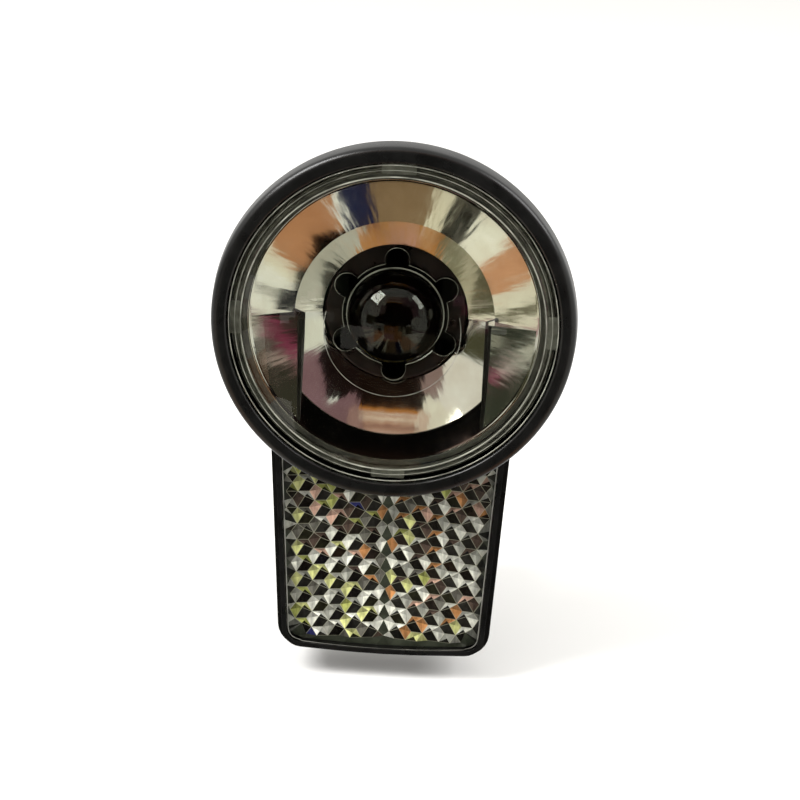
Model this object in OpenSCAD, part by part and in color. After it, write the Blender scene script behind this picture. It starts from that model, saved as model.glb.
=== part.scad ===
// Round bicycle headlamp with a reflex panel below it, on a tilting steel bracket.
// Millimetres, +Z up, the beam leaves along -Y.
// The origin is the centre of the bracket's bolt hole, on the face that meets the fork.

/* [Front lens and bezel] */
// Diameter of the clear front lens
lens_d = 54; // [48:1:64]
// Wall of the front lens
lens_t = 1.6; // [1.2:0.1:2.2]
// Width of the lens's flat rim
lens_rim_w = 2.2; // [1.8:0.1:3]
// How far the lens window stands out in front of its rim
lens_bulge = 2.6; // [1.8:0.1:3.4]
// Radius of the ring line moulded into the window
window_ring_r = 10.8; // [9:0.1:13]
// Width of each snap lug behind the lens rim
lug_w = 6.5; // [4:0.1:9]
// Length of each snap lug
lug_len = 3.4; // [2.5:0.1:4]
// Wall of the bezel at its widest
bezel_w = 2.85; // [2.2:0.05:3.6]
// Depth of the bezel from the lens rim to the housing
bezel_len = 8; // [7:0.1:10]
// How far the bezel tapers in towards the housing
bezel_taper = 1.65; // [1:0.05:2.2]
// Thickness of the rubber gasket under the lens
gasket_t = 0.8; // [0.5:0.1:1.2]

/* [Reflector and optic] */
// Focal length of the outer bowl
focal_outer = 27.5; // [24:0.5:32]
// Focal length of the collar in the upper half
focal_upper = 19.5; // [17:0.5:22]
// Focal length of the collar in the lower half
focal_lower = 12.8; // [11.6:0.1:14]
// Radius of the upper half's step between the bowl and the collar
upper_r = 16.5; // [15:0.1:18]
// Radius of the lower half's step
lower_r = 20; // [18.2:0.1:21]
// Height of both steps
collar_step = 0.5; // [0.3:0.1:1]
// Length of the neck behind the collar
neck_len = 5; // [4:0.1:6]
// Wall of the reflector
reflector_t = 1.2; // [0.9:0.1:1.6]
// Distance of each side rib from the middle
rib_x = 15.5; // [13:0.1:17]
// Thickness of each side rib
rib_t = 0.5; // [0.4:0.1:0.8]
// How far the side facets stand forward of the bowl
facet_lift = 1.2; // [0.6:0.1:2]
// Radius of the clear dome lens
dome_r = 8; // [6.5:0.1:9]
// Thickness of the dome lens's flange
dome_flange_t = 1.2; // [0.8:0.1:1.6]
// Radius of each round lobe on the flange
lobe_r = 2.1; // [1.6:0.1:2.4]
// Radius of the dark tube that carries the dome lens
holder_r = 11.8; // [11:0.1:13.5]
// Radius of the light path through that tube
light_path_r = 6.8; // [5.5:0.1:7]

/* [Light engine] */
// Thickness of the light-emitting diode's board
led_board_t = 1.6; // [1:0.1:2]
// Side of the square emitter
led_side = 3.5; // [3:0.1:5]
// Depth of the heat sink with its fins
sink_depth = 4.6; // [4:0.1:7]
// Thickness of the heat sink's base
sink_base = 2; // [1.5:0.1:3]
// Number of fins
fin_count = 5; // [3:1:6]
// Diameter of the standlight capacitor
capacitor_d = 11; // [8:0.5:12]
// Height of the standlight capacitor
capacitor_h = 5; // [4:0.5:7]
// Thickness of the driver board
driver_t = 1.6; // [1:0.1:2]

/* [Housing] */
// Wall of the housing
wall = 2; // [1.6:0.1:2.6]
// Outer radius of the housing at its rear end
rear_r = 17.6; // [17:0.1:19]
// Thickness of the rear cover
cover_t = 2.4; // [2:0.1:3]
// Depth of the cover's spigot inside the housing
spigot_len = 1.6; // [1.2:0.1:2.4]
// Material left between each cover screw's hole and the spigot's edge
cover_screw_land = 0.6; // [0.4:0.1:1.2]
// Diameter of the lead that the grommet takes
lead_d = 2.8; // [2.4:0.1:3.2]

/* [Reflex panel] */
// Width of the clear plate under the bezel
plate_w_top = 36.6; // [32:0.1:40]
// Width of the clear plate at its foot
plate_w_bottom = 33.4; // [30:0.1:36]
// Height of the clear plate below the bezel
plate_h = 31.4; // [26:0.1:36]
// Thickness of the clear plate with its prisms
plate_t = 2.6; // [2:0.1:3.4]
// How far the plate lies behind the lens rim
plate_back = 7; // [6:0.1:7.4]
// Bow of the plate's lower edge
plate_bow = 0.9; // [0.4:0.1:1.4]
// Radius of the plate's lower corners
plate_corner = 2.6; // [1.6:0.1:3.6]
// Width of the black lip round the plate
lip_w = 0.9; // [0.7:0.1:1.4]
// How far the tray stands out past that lip
tray_flare = 0.9; // [0.6:0.1:1.4]
// Depth of the tray
tray_depth = 11; // [10:0.1:14]

/* [Switch] */
// Radius of the switch knob
knob_r = 7.4; // [6.5:0.1:7.8]
// Depth of the knob's disc
knob_disc = 4.4; // [3.6:0.1:6]
// Height of the finger bar on the knob
bar_h = 4; // [3:0.1:6]
// Width of the finger bar
bar_w = 4.2; // [3:0.1:6]
// Radius of the knob's shaft
shaft_r = 3; // [2.6:0.1:3.4]

/* [Bracket and pivot] */
// Diameter of the hole for the fork bolt
fork_hole_d = 6.4; // [5.2:0.1:8.4]
// Width of steel left round that hole
fork_tab_w = 5; // [4:0.1:7]
// Thickness of the bracket's steel sheet
sheet_t = 2; // [1.5:0.1:3]
// Distance from the pivot back to the fork face
bracket_reach = 25; // [22:0.5:40]
// Distance from the pivot down to the fork hole
bracket_drop = 17; // [16:0.5:30]
// Radius of the bracket's eyes
eye_r = 6.5; // [5.5:0.1:8]
// Width of the housing's tongue between the eyes
tongue_w = 10; // [8:0.1:14]
// Distance of the pivot below the bezel
pivot_drop = 12; // [10:0.5:18]
// Diameter of the pivot bolt
bolt_d = 5; // [4:0.5:6]

/* [Fits] */
// Gap between pieces that are assembled by hand
fit = 0.2; // [0.1:0.05:0.3]
// Radial gap of a shaft that turns in a hole
running = 0.08; // [0.05:0.01:0.1]
// Gap between a screw and its hole
screw_gap = 0.15; // [0.05:0.05:0.2]

/* [Hidden] */
$fn = 96;
eps = 0.01;
arc_steps = 16;

// Lamp frame: X to the right, Y down, Z back from the front plane of the lens rim
lens_r = lens_d / 2;
window_r = lens_r - lens_rim_w;
bezel_in_r = lens_r + fit;
bezel_r = bezel_in_r + bezel_w;
bezel_lean = 0.35;
bezel_front_r = bezel_r - bezel_lean;
bezel_round = 1.2;
collar_out_r = lens_r - fit;
collar_land = 0.4;
collar_in_r = window_r + collar_land;
collar_front = lens_t + gasket_t;
shoulder = bezel_len + fit;
shoulder_r = bezel_r - bezel_taper;

// Bowl: paraboloids that open forwards, z = vertex - r^2 / (4 * focal).
// Each half has a collar of its own, given as [radius of its step, focal length].
reflector_inset = 1.2;
reflector_r = window_r - reflector_inset;
reflector_flange_r = collar_in_r - fit;
reflector_seat = collar_front + reflector_t + fit;
bowl_front = reflector_seat - reflector_t;
neck_gap = 0.3;
neck_r = holder_r + neck_gap;
outer_vertex = bowl_front + reflector_r * reflector_r / (4 * focal_outer);
function outer_z(r) = outer_vertex - r * r / (4 * focal_outer);
upper_collar = [upper_r, focal_upper];
lower_collar = [lower_r, focal_lower];
function collar_z(r, collar) =
    outer_z(collar[0]) + collar_step + (collar[0] * collar[0] - r * r) / (4 * collar[1]);
neck_z = collar_z(neck_r, lower_collar) + neck_len;
neck_out_r = neck_r + reflector_t;
neck_flange_w = 2.6;
neck_flange_r = neck_r + neck_flange_w;

// Optic and light engine, stacked backwards from the front lens
dome_gap = 0.5;
dome_z = lens_t - lens_bulge + dome_gap + dome_r;
dome_flange_w = 0.9;
flange_r = dome_r + dome_flange_w;
lobe_circle = dome_r + 0.7 * lobe_r;
holder_front = dome_z + dome_flange_t;
holder_flange_t = 1;
holder_seat = neck_z + reflector_t;
led_board_z = holder_seat + holder_flange_t;
led_board_r = holder_r - fit;
sink_z = led_board_z + led_board_t;
sink_end = sink_z + sink_depth;
sink_fin_r = 7;
fin_t = 1;
optic_screw_r = 1;
optic_screw_circle = (light_path_r + holder_r) / 2;
optic_head_h = 1.2;
link_pin_r = 0.5;
link_pin_inset = 1.1;
link_pin_circle = led_board_r - link_pin_inset;
capacitor_gap = 0.6;
driver_z = sink_end + capacitor_gap + capacitor_h;
driver_end = driver_z + driver_t;
choke_d = 6;
choke_h = 3.6;
diode_size = [2.8, 1.7, 1.1];
diode_gap = 0.5;
diode_clear = 0.4;

// Rear cover and switch
wiper_t = 0.4;
wiper_gap = 0.6;
wiper_w = 2;
shaft_end = driver_end + wiper_gap + wiper_t;
clip_t = 0.6;
clip_z = shaft_end + clip_t;
clip_groove = 0.5;
clip_groove_r = shaft_r - clip_groove;
clip_w = 1.6;
cover_in = clip_z + clip_t + fit;
housing_end = cover_in + spigot_len;
cover_gasket_t = 0.6;
cover_seat = housing_end + cover_gasket_t;
cover_end = cover_seat + cover_t;
spigot_r = rear_r - wall - fit;
driver_edge_gap = 0.6;
driver_r = spigot_r - driver_edge_gap;
seal_minor = 0.8;
seal_major = shaft_r + running + seal_minor;
seal_gap = 0.05;
seal_groove_r = seal_major + seal_minor + seal_gap;
seal_groove_z = cover_end - 2 * (seal_minor + seal_gap);
knob_gap = 0.3;
knob_z = cover_end + knob_gap;
bar_z = knob_z + knob_disc;
bar_end = bar_z + bar_h;
cover_screw_r = 1.25;
boss_r = 2 * cover_screw_r;
boss_len = 4;
cover_head_r = 2.2;
cover_head_h = 1.4;
cover_screw_tip = 1;
cover_screw_len = cover_end - cover_in + boss_len - cover_screw_tip;
cover_screw_angles = [45, 135, 270];
cover_screw_circle = spigot_r - cover_screw_r - screw_gap - cover_screw_land;
lead_circle = (knob_r + spigot_r) / 2;
lead_gap = 0.1;
lead_r = lead_d / 2 + lead_gap;
grommet_wall = 0.8;
grommet_neck_r = lead_r + grommet_wall;
grommet_flange_w = 0.7;
grommet_flange_r = grommet_neck_r + grommet_flange_w;
grommet_lip = 1;
post_r = 1.8;
post_inset = 3.5;
post_circle = driver_r - post_r - post_inset;
post_angles = [28, 152];
wiper_gap_to_post = 1.5;
wiper_r = post_circle - post_r - wiper_gap_to_post;
board_screw_r = 0.9;
board_head_h = 1;
wire_post_inset = 3;
wire_post_place = [2.2, lead_circle - wire_post_inset];
component_edge = 2.3;
capacitor_angle = 217;
capacitor_circle = driver_r - capacitor_d / 2 - component_edge;
diode_row = capacitor_circle * sin(capacitor_angle) + capacitor_d / 2 + diode_clear;
choke_angle = -40;
choke_circle = driver_r - choke_d / 2 - component_edge;

// Housing shell: outer radius falls from the shoulder to the rear in a slight curve
shell_steps = 14;
function shell_share(z) = (z - shoulder) / (housing_end - shoulder);
function shell_r(z) = let (t = shell_share(z))
    shoulder_r + (rear_r - shoulder_r) * (0.75 * t + 0.25 * t * t);

// Reflex panel and tray
plate_top = bezel_r + fit;
plate_foot = plate_top + plate_h;
lip_rise = 0.4;
lip_front = plate_back - lip_rise;
lip_depth = 1.6;
tray_back = lip_front + tray_depth;
tray_wall = 1.8;
tray_chin = 0.6;
tray_foot = lip_w + tray_chin;
plate_seat_w = 1.2;
tray_bury = 1;
tray_half = plate_w_top / 2 + lip_w + tray_flare + tray_bury;
tray_top = sqrt(max(pow(shell_r(tray_back), 2) - pow(tray_half, 2), 1)) - tray_bury;
plate_arc_r = bezel_r + fit;
plate_spare = 6;
bow_round = 180;
stiffener_t = 1.4;
stiffener_h = 18;
stiffener_rise = 1.2;
stiffener_share = 0.62;

// Pivot and bracket
bolt_r = bolt_d / 2;
pivot_down = bezel_r + pivot_drop;
pivot_gap = 2.6;
tongue_spread = 4;
pivot_back = tray_back + eye_r + pivot_gap;
fork_down = pivot_down + bracket_drop;
fork_back = pivot_back + bracket_reach;
cheek_gap = 0.1;
cheek_in = tongue_w / 2 + cheek_gap;
cheek_out = cheek_in + sheet_t;
fork_tab_r = fork_hole_d / 2 + fork_tab_w;
bend_r = 2.6;
washer_r = bolt_d;
washer_t = 1;
bolt_head_h = 3.5;
bolt_head_flats = 1.6 * bolt_d;
nut_h = 5;
bolt_tail = 1;

// Stands the lamp frame in the part's own frame
module in_lamp() {
    translate([0, -fork_back, fork_down]) rotate([-90, 0, 0]) children();
}

// Ring or disc round the lamp's axis, from z0 back to z1
module ring(r_out, r_in, z0, z1) {
    translate([0, 0, z0]) difference() {
        cylinder(r = r_out, h = z1 - z0);
        if (r_in > 0) translate([0, 0, -1]) cylinder(r = r_in, h = z1 - z0 + 2);
    }
}

// Solid bar of a side-view outline, w wide across the lamp; outline points are [-z, y]
module across(w) {
    rotate([0, 90, 0]) translate([0, 0, -w / 2]) linear_extrude(w) children();
}

// Plan-view outline of points [x, z], carried down from y0 to y1
module downwards(y0, y1) {
    translate([0, y1, 0]) rotate([90, 0, 0]) linear_extrude(y1 - y0) children();
}

// Rod along X through a point of the side view
module rod_x(r, x0, x1, y, z) {
    translate([x0, y, z]) rotate([0, 90, 0]) cylinder(r = r, h = x1 - x0);
}

// Copies at the given angles on a circle round the lamp's axis
module on_circle(radius, angles) {
    for (a = angles) rotate(a) translate([radius, 0, 0]) children();
}

function unit(v) = v / norm(v);

// Corner b of the path a, b, c, rounded with radius r
function fillet(a, b, c, r) =
    let (u = unit(a - b), w = unit(c - b), half = acos(u * w) / 2,
         mid = b + unit(u + w) * r / sin(half),
         p = b + u * r / tan(half) - mid,
         q = b + w * r / tan(half) - mid,
         start = atan2(p.y, p.x),
         turn = atan2(q.y, q.x) - start,
         sweep = turn > 180 ? turn - 360 : turn < -180 ? turn + 360 : turn,
         n = 6)
    [for (i = [0 : n]) mid + r * [cos(start + sweep * i / n), sin(start + sweep * i / n)]];

// Half width of the panel's sides at a distance y below the lamp's axis
function half_width(y) = plate_w_top / 2
    - (plate_w_top - plate_w_bottom) / 2 * (y - plate_top) / plate_h;

// Panel outline from a level y_top down, grown by side and foot margins
function panel(y_top, side, foot, corner) =
    let (y_mid = plate_foot + foot, y_end = y_mid - plate_bow,
         top = half_width(y_top) + side, bottom = half_width(y_end) + side,
         a = [-top, y_top], b = [-bottom, y_end], m = [0, y_mid],
         c = [bottom, y_end], d = [top, y_top])
    concat([a], fillet(a, b, m, corner), fillet(b, m, c, bow_round), fillet(m, c, d, corner), [d]);

// Paraboloid stretches as points [r, z], shifted back by a distance
function outer_bowl(r0, r1, back) =
    [for (i = [0 : arc_steps]) let (r = r0 + (r1 - r0) * i / arc_steps) [r, outer_z(r) + back]];
function collar_bowl(r0, r1, back, collar) =
    [for (i = [0 : arc_steps]) let (r = r0 + (r1 - r0) * i / arc_steps) [r, collar_z(r, collar) + back]];

// Points [r, z] in the middle of the lower half's wall, where facets and ribs are rooted
function lower_wall(r0, r1) =
    [for (i = [0 : arc_steps]) let (r = r0 + (r1 - r0) * i / arc_steps)
        [r, (r < lower_r ? collar_z(r, lower_collar) : outer_z(r)) + reflector_t / 2]];

// Quarter circle of points [r, z] that bulges forwards from the level z
function quarter(radius, z) =
    [for (i = [0 : arc_steps]) let (a = 90 * i / arc_steps) [radius * sin(a), z - radius * cos(a)]];

// Lens window: arc of points [r, z] from the middle to the window's edge
window_ball = (window_r * window_r + lens_bulge * lens_bulge) / (2 * lens_bulge);
function window_z(r) = window_ball - lens_bulge - sqrt(window_ball * window_ball - r * r);
function window_arc(r0, r1, back) =
    [for (i = [0 : arc_steps]) let (r = r0 + (r1 - r0) * i / arc_steps) [r, window_z(r) + back]];

// Bent steel bracket: a plate with the fork hole and two cheeks with eyes for the pivot
module mounting_bracket() {
    front = pivot_back - eye_r - 1;
    corner_out = [for (s = [-1, 1]) [s * cheek_out, fork_back]];
    corner_in = [for (s = [-1, 1]) [s * cheek_in, fork_back - sheet_t]];
    color("lightsteelblue") in_lamp() difference() {
        union() {
            intersection() {
                downwards(pivot_down - eye_r - 1, pivot_down + eye_r + 1) polygon(concat(
                    [[-cheek_out, front]],
                    fillet([-cheek_out, front], corner_out[0], corner_out[1], bend_r),
                    fillet(corner_out[0], corner_out[1], [cheek_out, front], bend_r),
                    [[cheek_out, front], [cheek_in, front]],
                    fillet([cheek_in, front], corner_in[1], corner_in[0], bend_r - sheet_t / 2),
                    fillet(corner_in[1], corner_in[0], [-cheek_in, front], bend_r - sheet_t / 2),
                    [[-cheek_in, front]]));
                union() {
                    rod_x(eye_r, -cheek_out - 1, cheek_out + 1, pivot_down, pivot_back);
                    across(2 * cheek_out + 2) translate([-fork_back, pivot_down - eye_r])
                        square([bracket_reach, 2 * eye_r]);
                }
            }
            translate([0, 0, fork_back - sheet_t]) linear_extrude(sheet_t) {
                polygon([[-cheek_in + eps, pivot_down - eye_r], [cheek_in - eps, pivot_down - eye_r],
                    [cheek_in - eps, pivot_down + eye_r + 1], [fork_tab_r, fork_down],
                    [-fork_tab_r, fork_down], [-cheek_in + eps, pivot_down + eye_r + 1]]);
                translate([0, fork_down]) circle(r = fork_tab_r);
            }
        }
        translate([0, fork_down, fork_back - 2 * sheet_t]) cylinder(d = fork_hole_d, h = 4 * sheet_t);
        rod_x(bolt_r + screw_gap, -cheek_out - 1, cheek_out + 1, pivot_down, pivot_back);
    }
}

// Hexagon bar across the lamp at the pivot
module pivot_hex(flats, x0, x1) {
    translate([x0, pivot_down, pivot_back]) rotate([0, 90, 0])
        cylinder(d = flats / cos(30), h = x1 - x0, $fn = 6);
}

module pivot_bolt() {
    seat = cheek_out + washer_t;
    color("silver") in_lamp() {
        rod_x(bolt_r, -seat - nut_h - bolt_tail, seat, pivot_down, pivot_back);
        pivot_hex(bolt_head_flats, seat, seat + bolt_head_h);
    }
}

module pivot_nut() {
    seat = cheek_out + washer_t;
    color("silver") in_lamp() difference() {
        union() {
            pivot_hex(bolt_head_flats, -seat - 0.76 * nut_h, -seat);
            rod_x(0.46 * bolt_head_flats, -seat - nut_h, -seat - 0.7 * nut_h, pivot_down, pivot_back);
        }
        rod_x(bolt_r + 0.05, -seat - nut_h - 1, -seat + 1, pivot_down, pivot_back);
    }
}

module pivot_washers() {
    color("silver") in_lamp() for (x = [cheek_out, -cheek_out - washer_t]) difference() {
        rod_x(washer_r, x, x + washer_t, pivot_down, pivot_back);
        rod_x(bolt_r + screw_gap, x - 1, x + washer_t + 1, pivot_down, pivot_back);
    }
}

// Outside and inside of the round shell, as points [r, z] from the front to the rear
function shell_line(inset, z0, z1) =
    [for (i = [0 : shell_steps]) let (z = z0 + (z1 - z0) * i / shell_steps) [shell_r(z) - inset, z]];

module shell_outside() {
    rotate_extrude() polygon(concat(
        [[0, collar_front], [collar_out_r, collar_front], [collar_out_r, shoulder]],
        shell_line(0, shoulder, housing_end),
        [[0, housing_end]]));
}

module shell_inside() {
    ledge_in = reflector_r - 0.4;
    rotate_extrude() polygon(concat(
        [[0, collar_front - 1], [collar_in_r, collar_front - 1], [collar_in_r, reflector_seat],
         [ledge_in, reflector_seat], [ledge_in, shoulder + wall]],
        shell_line(wall, shoulder + 2 * wall, housing_end),
        [[rear_r - wall, housing_end + 1], [0, housing_end + 1]]));
}

// Housing's tongue between the bracket's cheeks, in side view
module tongue_outline() {
    root = tray_back - tray_wall;
    half_root = eye_r + tongue_spread;
    translate([-pivot_back, pivot_down]) circle(r = eye_r);
    polygon([[-root, pivot_down - half_root], [-tray_back, pivot_down - half_root],
        [-pivot_back, pivot_down - eye_r], [-pivot_back, pivot_down + eye_r],
        [-tray_back, pivot_down + half_root], [-root, pivot_down + half_root]]);
}

// Bosses for the cover's screws, each with a web out to the shell
module screw_bosses() {
    on_circle(cover_screw_circle, cover_screw_angles) {
        ring(boss_r, 0, cover_in - boss_len, cover_in);
        translate([0, -boss_r / 2, cover_in - boss_len]) cube([shoulder_r, boss_r, boss_len]);
    }
}

// Black moulded housing: round shell, tray for the reflex plate and pivot tongue
module housing() {
    inner_corner = max(plate_corner - tray_wall / 2, 0.8);
    color("#161616") in_lamp() difference() {
        union() {
            shell_outside();
            difference() {
                union() {
                    translate([0, 0, lip_front]) linear_extrude(lip_depth)
                        polygon(panel(tray_top, lip_w, lip_w, plate_corner + lip_w));
                    translate([0, 0, lip_front + lip_depth]) linear_extrude(tray_depth - lip_depth)
                        polygon(panel(tray_top, lip_w + tray_flare, tray_foot,
                            plate_corner + lip_w + tray_flare));
                }
                translate([0, 0, -1]) cylinder(r = bezel_r + fit, h = shoulder + 1);
            }
            across(tongue_w) tongue_outline();
            for (x = [-1, 1]) translate([x * half_width(plate_foot) * stiffener_share, 0, 0])
                across(stiffener_t)
                    translate([-tray_back - stiffener_rise, pivot_down - stiffener_h / 2])
                        square([stiffener_rise + eps, stiffener_h]);
            intersection() {
                screw_bosses();
                shell_outside();
            }
        }
        difference() {
            shell_inside();
            screw_bosses();
        }
        difference() {
            union() {
                translate([0, 0, lip_front - 1]) linear_extrude(plate_back + plate_t + 1 - lip_front)
                    polygon(panel(tray_top, fit / 2, fit / 2, plate_corner));
                translate([0, 0, plate_back]) linear_extrude(tray_back - tray_wall - plate_back)
                    polygon(panel(tray_top, -plate_seat_w, -plate_seat_w, inner_corner));
            }
            shell_outside();
        }
        for (a = [0 : 90 : 270]) rotate(a)
            translate([-lug_w / 2 - fit, lens_r - 2.2, collar_front - 1])
                cube([lug_w + 2 * fit, 3, lug_len - collar_front + lens_t + 1 + fit]);
        on_circle(cover_screw_circle, cover_screw_angles)
            ring(cover_screw_r + 0.05, 0, cover_in - boss_len + 0.6, cover_in + 1);
        rod_x(bolt_r + running, -tongue_w, tongue_w, pivot_down, pivot_back);
    }
}

// Black ring round the lens, rounded at the front and tapering back to the housing
module front_bezel() {
    mid = 3.4;
    front = [bezel_front_r, -0.2];
    color("#101010") in_lamp() rotate_extrude() polygon(concat(
        [[bezel_in_r, 0.3], [bezel_in_r + 0.5, -0.2]],
        fillet([bezel_in_r + 0.5, -0.2], front, [bezel_r, mid], bezel_round),
        [for (i = [0 : 8]) let (t = i / 8)
            [bezel_r - bezel_taper * pow(t, 1.6), mid + (bezel_len - mid) * t]],
        [[bezel_in_r, bezel_len]]));
}

// Clear front lens: domed window with a ring line, flat rim and four snap lugs
module front_lens() {
    line_h = 0.25;
    color([0.9, 0.95, 1, 0.35]) in_lamp() {
        rotate_extrude() polygon(concat(
            window_arc(0, window_ring_r - 0.3, 0),
            [[window_ring_r, window_z(window_ring_r) - line_h]],
            window_arc(window_ring_r + 0.3, window_r, 0),
            [[lens_r - 0.3, 0], [lens_r, 0.3], [lens_r, lens_t], [window_r, lens_t]],
            window_arc(window_r - 0.4, 0, lens_t)));
        for (a = [0 : 90 : 270]) rotate(a)
            translate([-lug_w / 2, lens_r - 1.3, lens_t - eps])
                cube([lug_w, 1, lug_len + eps]);
    }
}

module lens_gasket() {
    lug_clear = lug_w / 2 + fit;
    color("#202020") in_lamp() difference() {
        ring(collar_out_r - 0.1, collar_in_r, lens_t, collar_front);
        for (a = [0 : 90 : 270]) rotate(a)
            translate([-lug_clear, lens_r - 1.3 - fit, 0]) cube([2 * lug_clear, 3, collar_front + 1]);
    }
}

// Profile of one half of the reflector: rim flange, outer bowl, step, collar, neck and its flange
module reflector_profile(collar) {
    polygon(concat(
        [[reflector_flange_r, bowl_front], [reflector_r + 0.02, bowl_front]],
        outer_bowl(reflector_r, collar[0], 0),
        collar_bowl(collar[0], neck_r, 0, collar),
        [[neck_r, holder_seat], [neck_flange_r, holder_seat], [neck_flange_r, neck_z], [neck_out_r, neck_z]],
        collar_bowl(neck_out_r, collar[0] + 0.6, reflector_t, collar),
        outer_bowl(collar[0] + 1, reflector_r - 1, reflector_t),
        [[reflector_r - 0.6, reflector_seat], [reflector_flange_r, reflector_seat]]));
}

// Metallised bowl of two halves, joined by a wall across the step between them, with two raised
// side facets below the middle and a rib beside each
module reflector() {
    color("#d8d8d8") in_lamp() {
        rotate(180) rotate_extrude(angle = 180) reflector_profile(upper_collar);
        rotate_extrude(angle = 180) reflector_profile(lower_collar);
        for (s = [0, 1]) mirror([s, 0, 0]) rotate([90, 0, 0]) linear_extrude(reflector_t)
            polygon(concat(collar_bowl(neck_r, upper_r, 0, upper_collar),
                outer_bowl(upper_r, lower_r, 0), collar_bowl(lower_r, neck_r, reflector_t, lower_collar)));
        intersection() {
            rotate_extrude() polygon(concat(
                [for (p = outer_bowl(rib_x, reflector_r, -facet_lift)) [p.x, max(p.y, bowl_front)]],
                lower_wall(reflector_r, rib_x)));
            for (s = [-1, 1]) translate([s > 0 ? rib_x : -rib_x - reflector_r, 0, 0])
                cube([reflector_r, reflector_r, holder_seat]);
        }
        intersection() {
            rotate_extrude() polygon(concat(
                [[rib_x - rib_t, bowl_front], [reflector_r - 0.2, bowl_front]],
                lower_wall(reflector_r - 0.2, rib_x - rib_t)));
            for (s = [-1, 1]) translate([s > 0 ? rib_x - rib_t : -rib_x, 0, 0])
                cube([rib_t, reflector_r, holder_seat]);
        }
    }
}

// Clear reflex plate, cut round to clear the bezel
module reflex_plate() {
    color([0.95, 0.95, 0.9, 0.6]) in_lamp() difference() {
        translate([0, 0, plate_back]) linear_extrude(plate_t)
            polygon(panel(bezel_r - plate_spare, 0, 0, plate_corner));
        cylinder(r = plate_arc_r + fit, h = 2 * bezel_len);
    }
}

// Dark tube that stands in the reflector's neck and carries the dome lens
module dome_holder() {
    color("#241a16") in_lamp() difference() {
        union() {
            ring(holder_r, light_path_r, holder_front, led_board_z);
            ring(neck_flange_r, light_path_r, holder_seat, led_board_z);
        }
        for (a = [90, 270]) on_circle(optic_screw_circle, [a])
            ring(optic_screw_r + 0.05, 0, led_board_z - 3, led_board_z + 1);
    }
}

// Clear half-ball lens with six round lobes on its flange
module dome_lens() {
    color([0.9, 0.95, 1, 0.4]) in_lamp() union() {
        rotate_extrude() polygon(concat(quarter(dome_r, dome_z),
            [[dome_r, dome_z + dome_flange_t / 2], [0, dome_z + dome_flange_t / 2]]));
        translate([0, 0, dome_z]) linear_extrude(dome_flange_t) {
            circle(r = flange_r);
            on_circle(lobe_circle, [30 : 60 : 330]) circle(r = lobe_r, $fn = 32);
        }
    }
}

module led_emitter() {
    base_t = 0.7;
    lens = 0.42 * led_side;
    color("#e8d870") in_lamp() {
        translate([-led_side / 2, -led_side / 2, led_board_z - base_t]) cube([led_side, led_side, base_t]);
        rotate_extrude() polygon(concat(quarter(lens, led_board_z - base_t),
            [[lens, led_board_z - base_t / 2], [0, led_board_z - base_t / 2]]));
    }
}

module led_board() {
    color("whitesmoke") in_lamp() difference() {
        ring(led_board_r, 0, led_board_z, sink_z);
        for (a = [90, 270]) on_circle(optic_screw_circle, [a])
            ring(optic_screw_r + screw_gap, 0, led_board_z - 1, sink_z + 1);
    }
}

// Aluminium heat sink: round base with straight fins towards the rear
module heat_sink() {
    pitch = 2 * sink_fin_r / fin_count;
    color("silver") in_lamp() difference() {
        union() {
            ring(led_board_r, 0, sink_z, sink_z + sink_base);
            intersection() {
                ring(sink_fin_r, 0, sink_z, sink_end);
                for (i = [0 : fin_count - 1])
                    translate([-sink_fin_r + (i + 0.5) * pitch - fin_t / 2, -sink_fin_r, sink_z])
                        cube([fin_t, 2 * sink_fin_r, sink_depth]);
            }
        }
        for (a = [90, 270]) on_circle(optic_screw_circle, [a])
            ring(optic_screw_r + screw_gap, 0, sink_z - 1, sink_end);
        on_circle(link_pin_circle, [0, 180]) ring(link_pin_r + 0.5, 0, sink_z - 1, sink_end);
    }
}

module optic_screws() {
    seat = sink_z + sink_base;
    color("silver") in_lamp() on_circle(optic_screw_circle, [90, 270]) {
        ring(optic_screw_r, 0, led_board_z - 2.6, seat + eps);
        ring(1.9 * optic_screw_r, 0, seat, seat + optic_head_h);
    }
}

// Two pins that carry the current from the driver board to the light's board
module link_pins() {
    color("goldenrod") in_lamp() on_circle(link_pin_circle, [0, 180])
        ring(link_pin_r, 0, sink_z, driver_z);
}

module driver_board() {
    color("darkgreen") in_lamp() difference() {
        ring(driver_r, 0, driver_z, driver_end);
        on_circle(cover_screw_circle, cover_screw_angles)
            ring(boss_r + 0.4, 0, driver_z - 1, driver_end + 1);
        on_circle(post_circle, post_angles)
            ring(board_screw_r + screw_gap, 0, driver_z - 1, driver_end + 1);
    }
}

module standlight_capacitor() {
    color("#30405a") in_lamp() on_circle(capacitor_circle, [capacitor_angle]) {
        ring(capacitor_d / 2, 0, driver_z - capacitor_h + 0.5, driver_z);
        ring(capacitor_d / 2 - 0.5, 0, driver_z - capacitor_h, driver_z - capacitor_h + 0.5);
    }
}

module choke() {
    color("#302018") in_lamp() on_circle(choke_circle, [choke_angle]) {
        ring(choke_d / 2, 0, driver_z - choke_h, driver_z - choke_h + 0.8);
        ring(choke_d / 2 - 0.7, 0, driver_z - choke_h + 0.8 - eps, driver_z - 0.8 + eps);
        ring(choke_d / 2, 0, driver_z - 0.8, driver_z);
    }
}

module rectifier_diodes() {
    pitch = [diode_size.x + diode_gap, diode_size.y + diode_gap];
    color("#181818") in_lamp() for (i = [0, 1], j = [0, 1])
        translate([(i - 1) * pitch.x + diode_gap / 2, diode_row + j * pitch.y, driver_z - diode_size.z])
            cube(diode_size);
}

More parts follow.
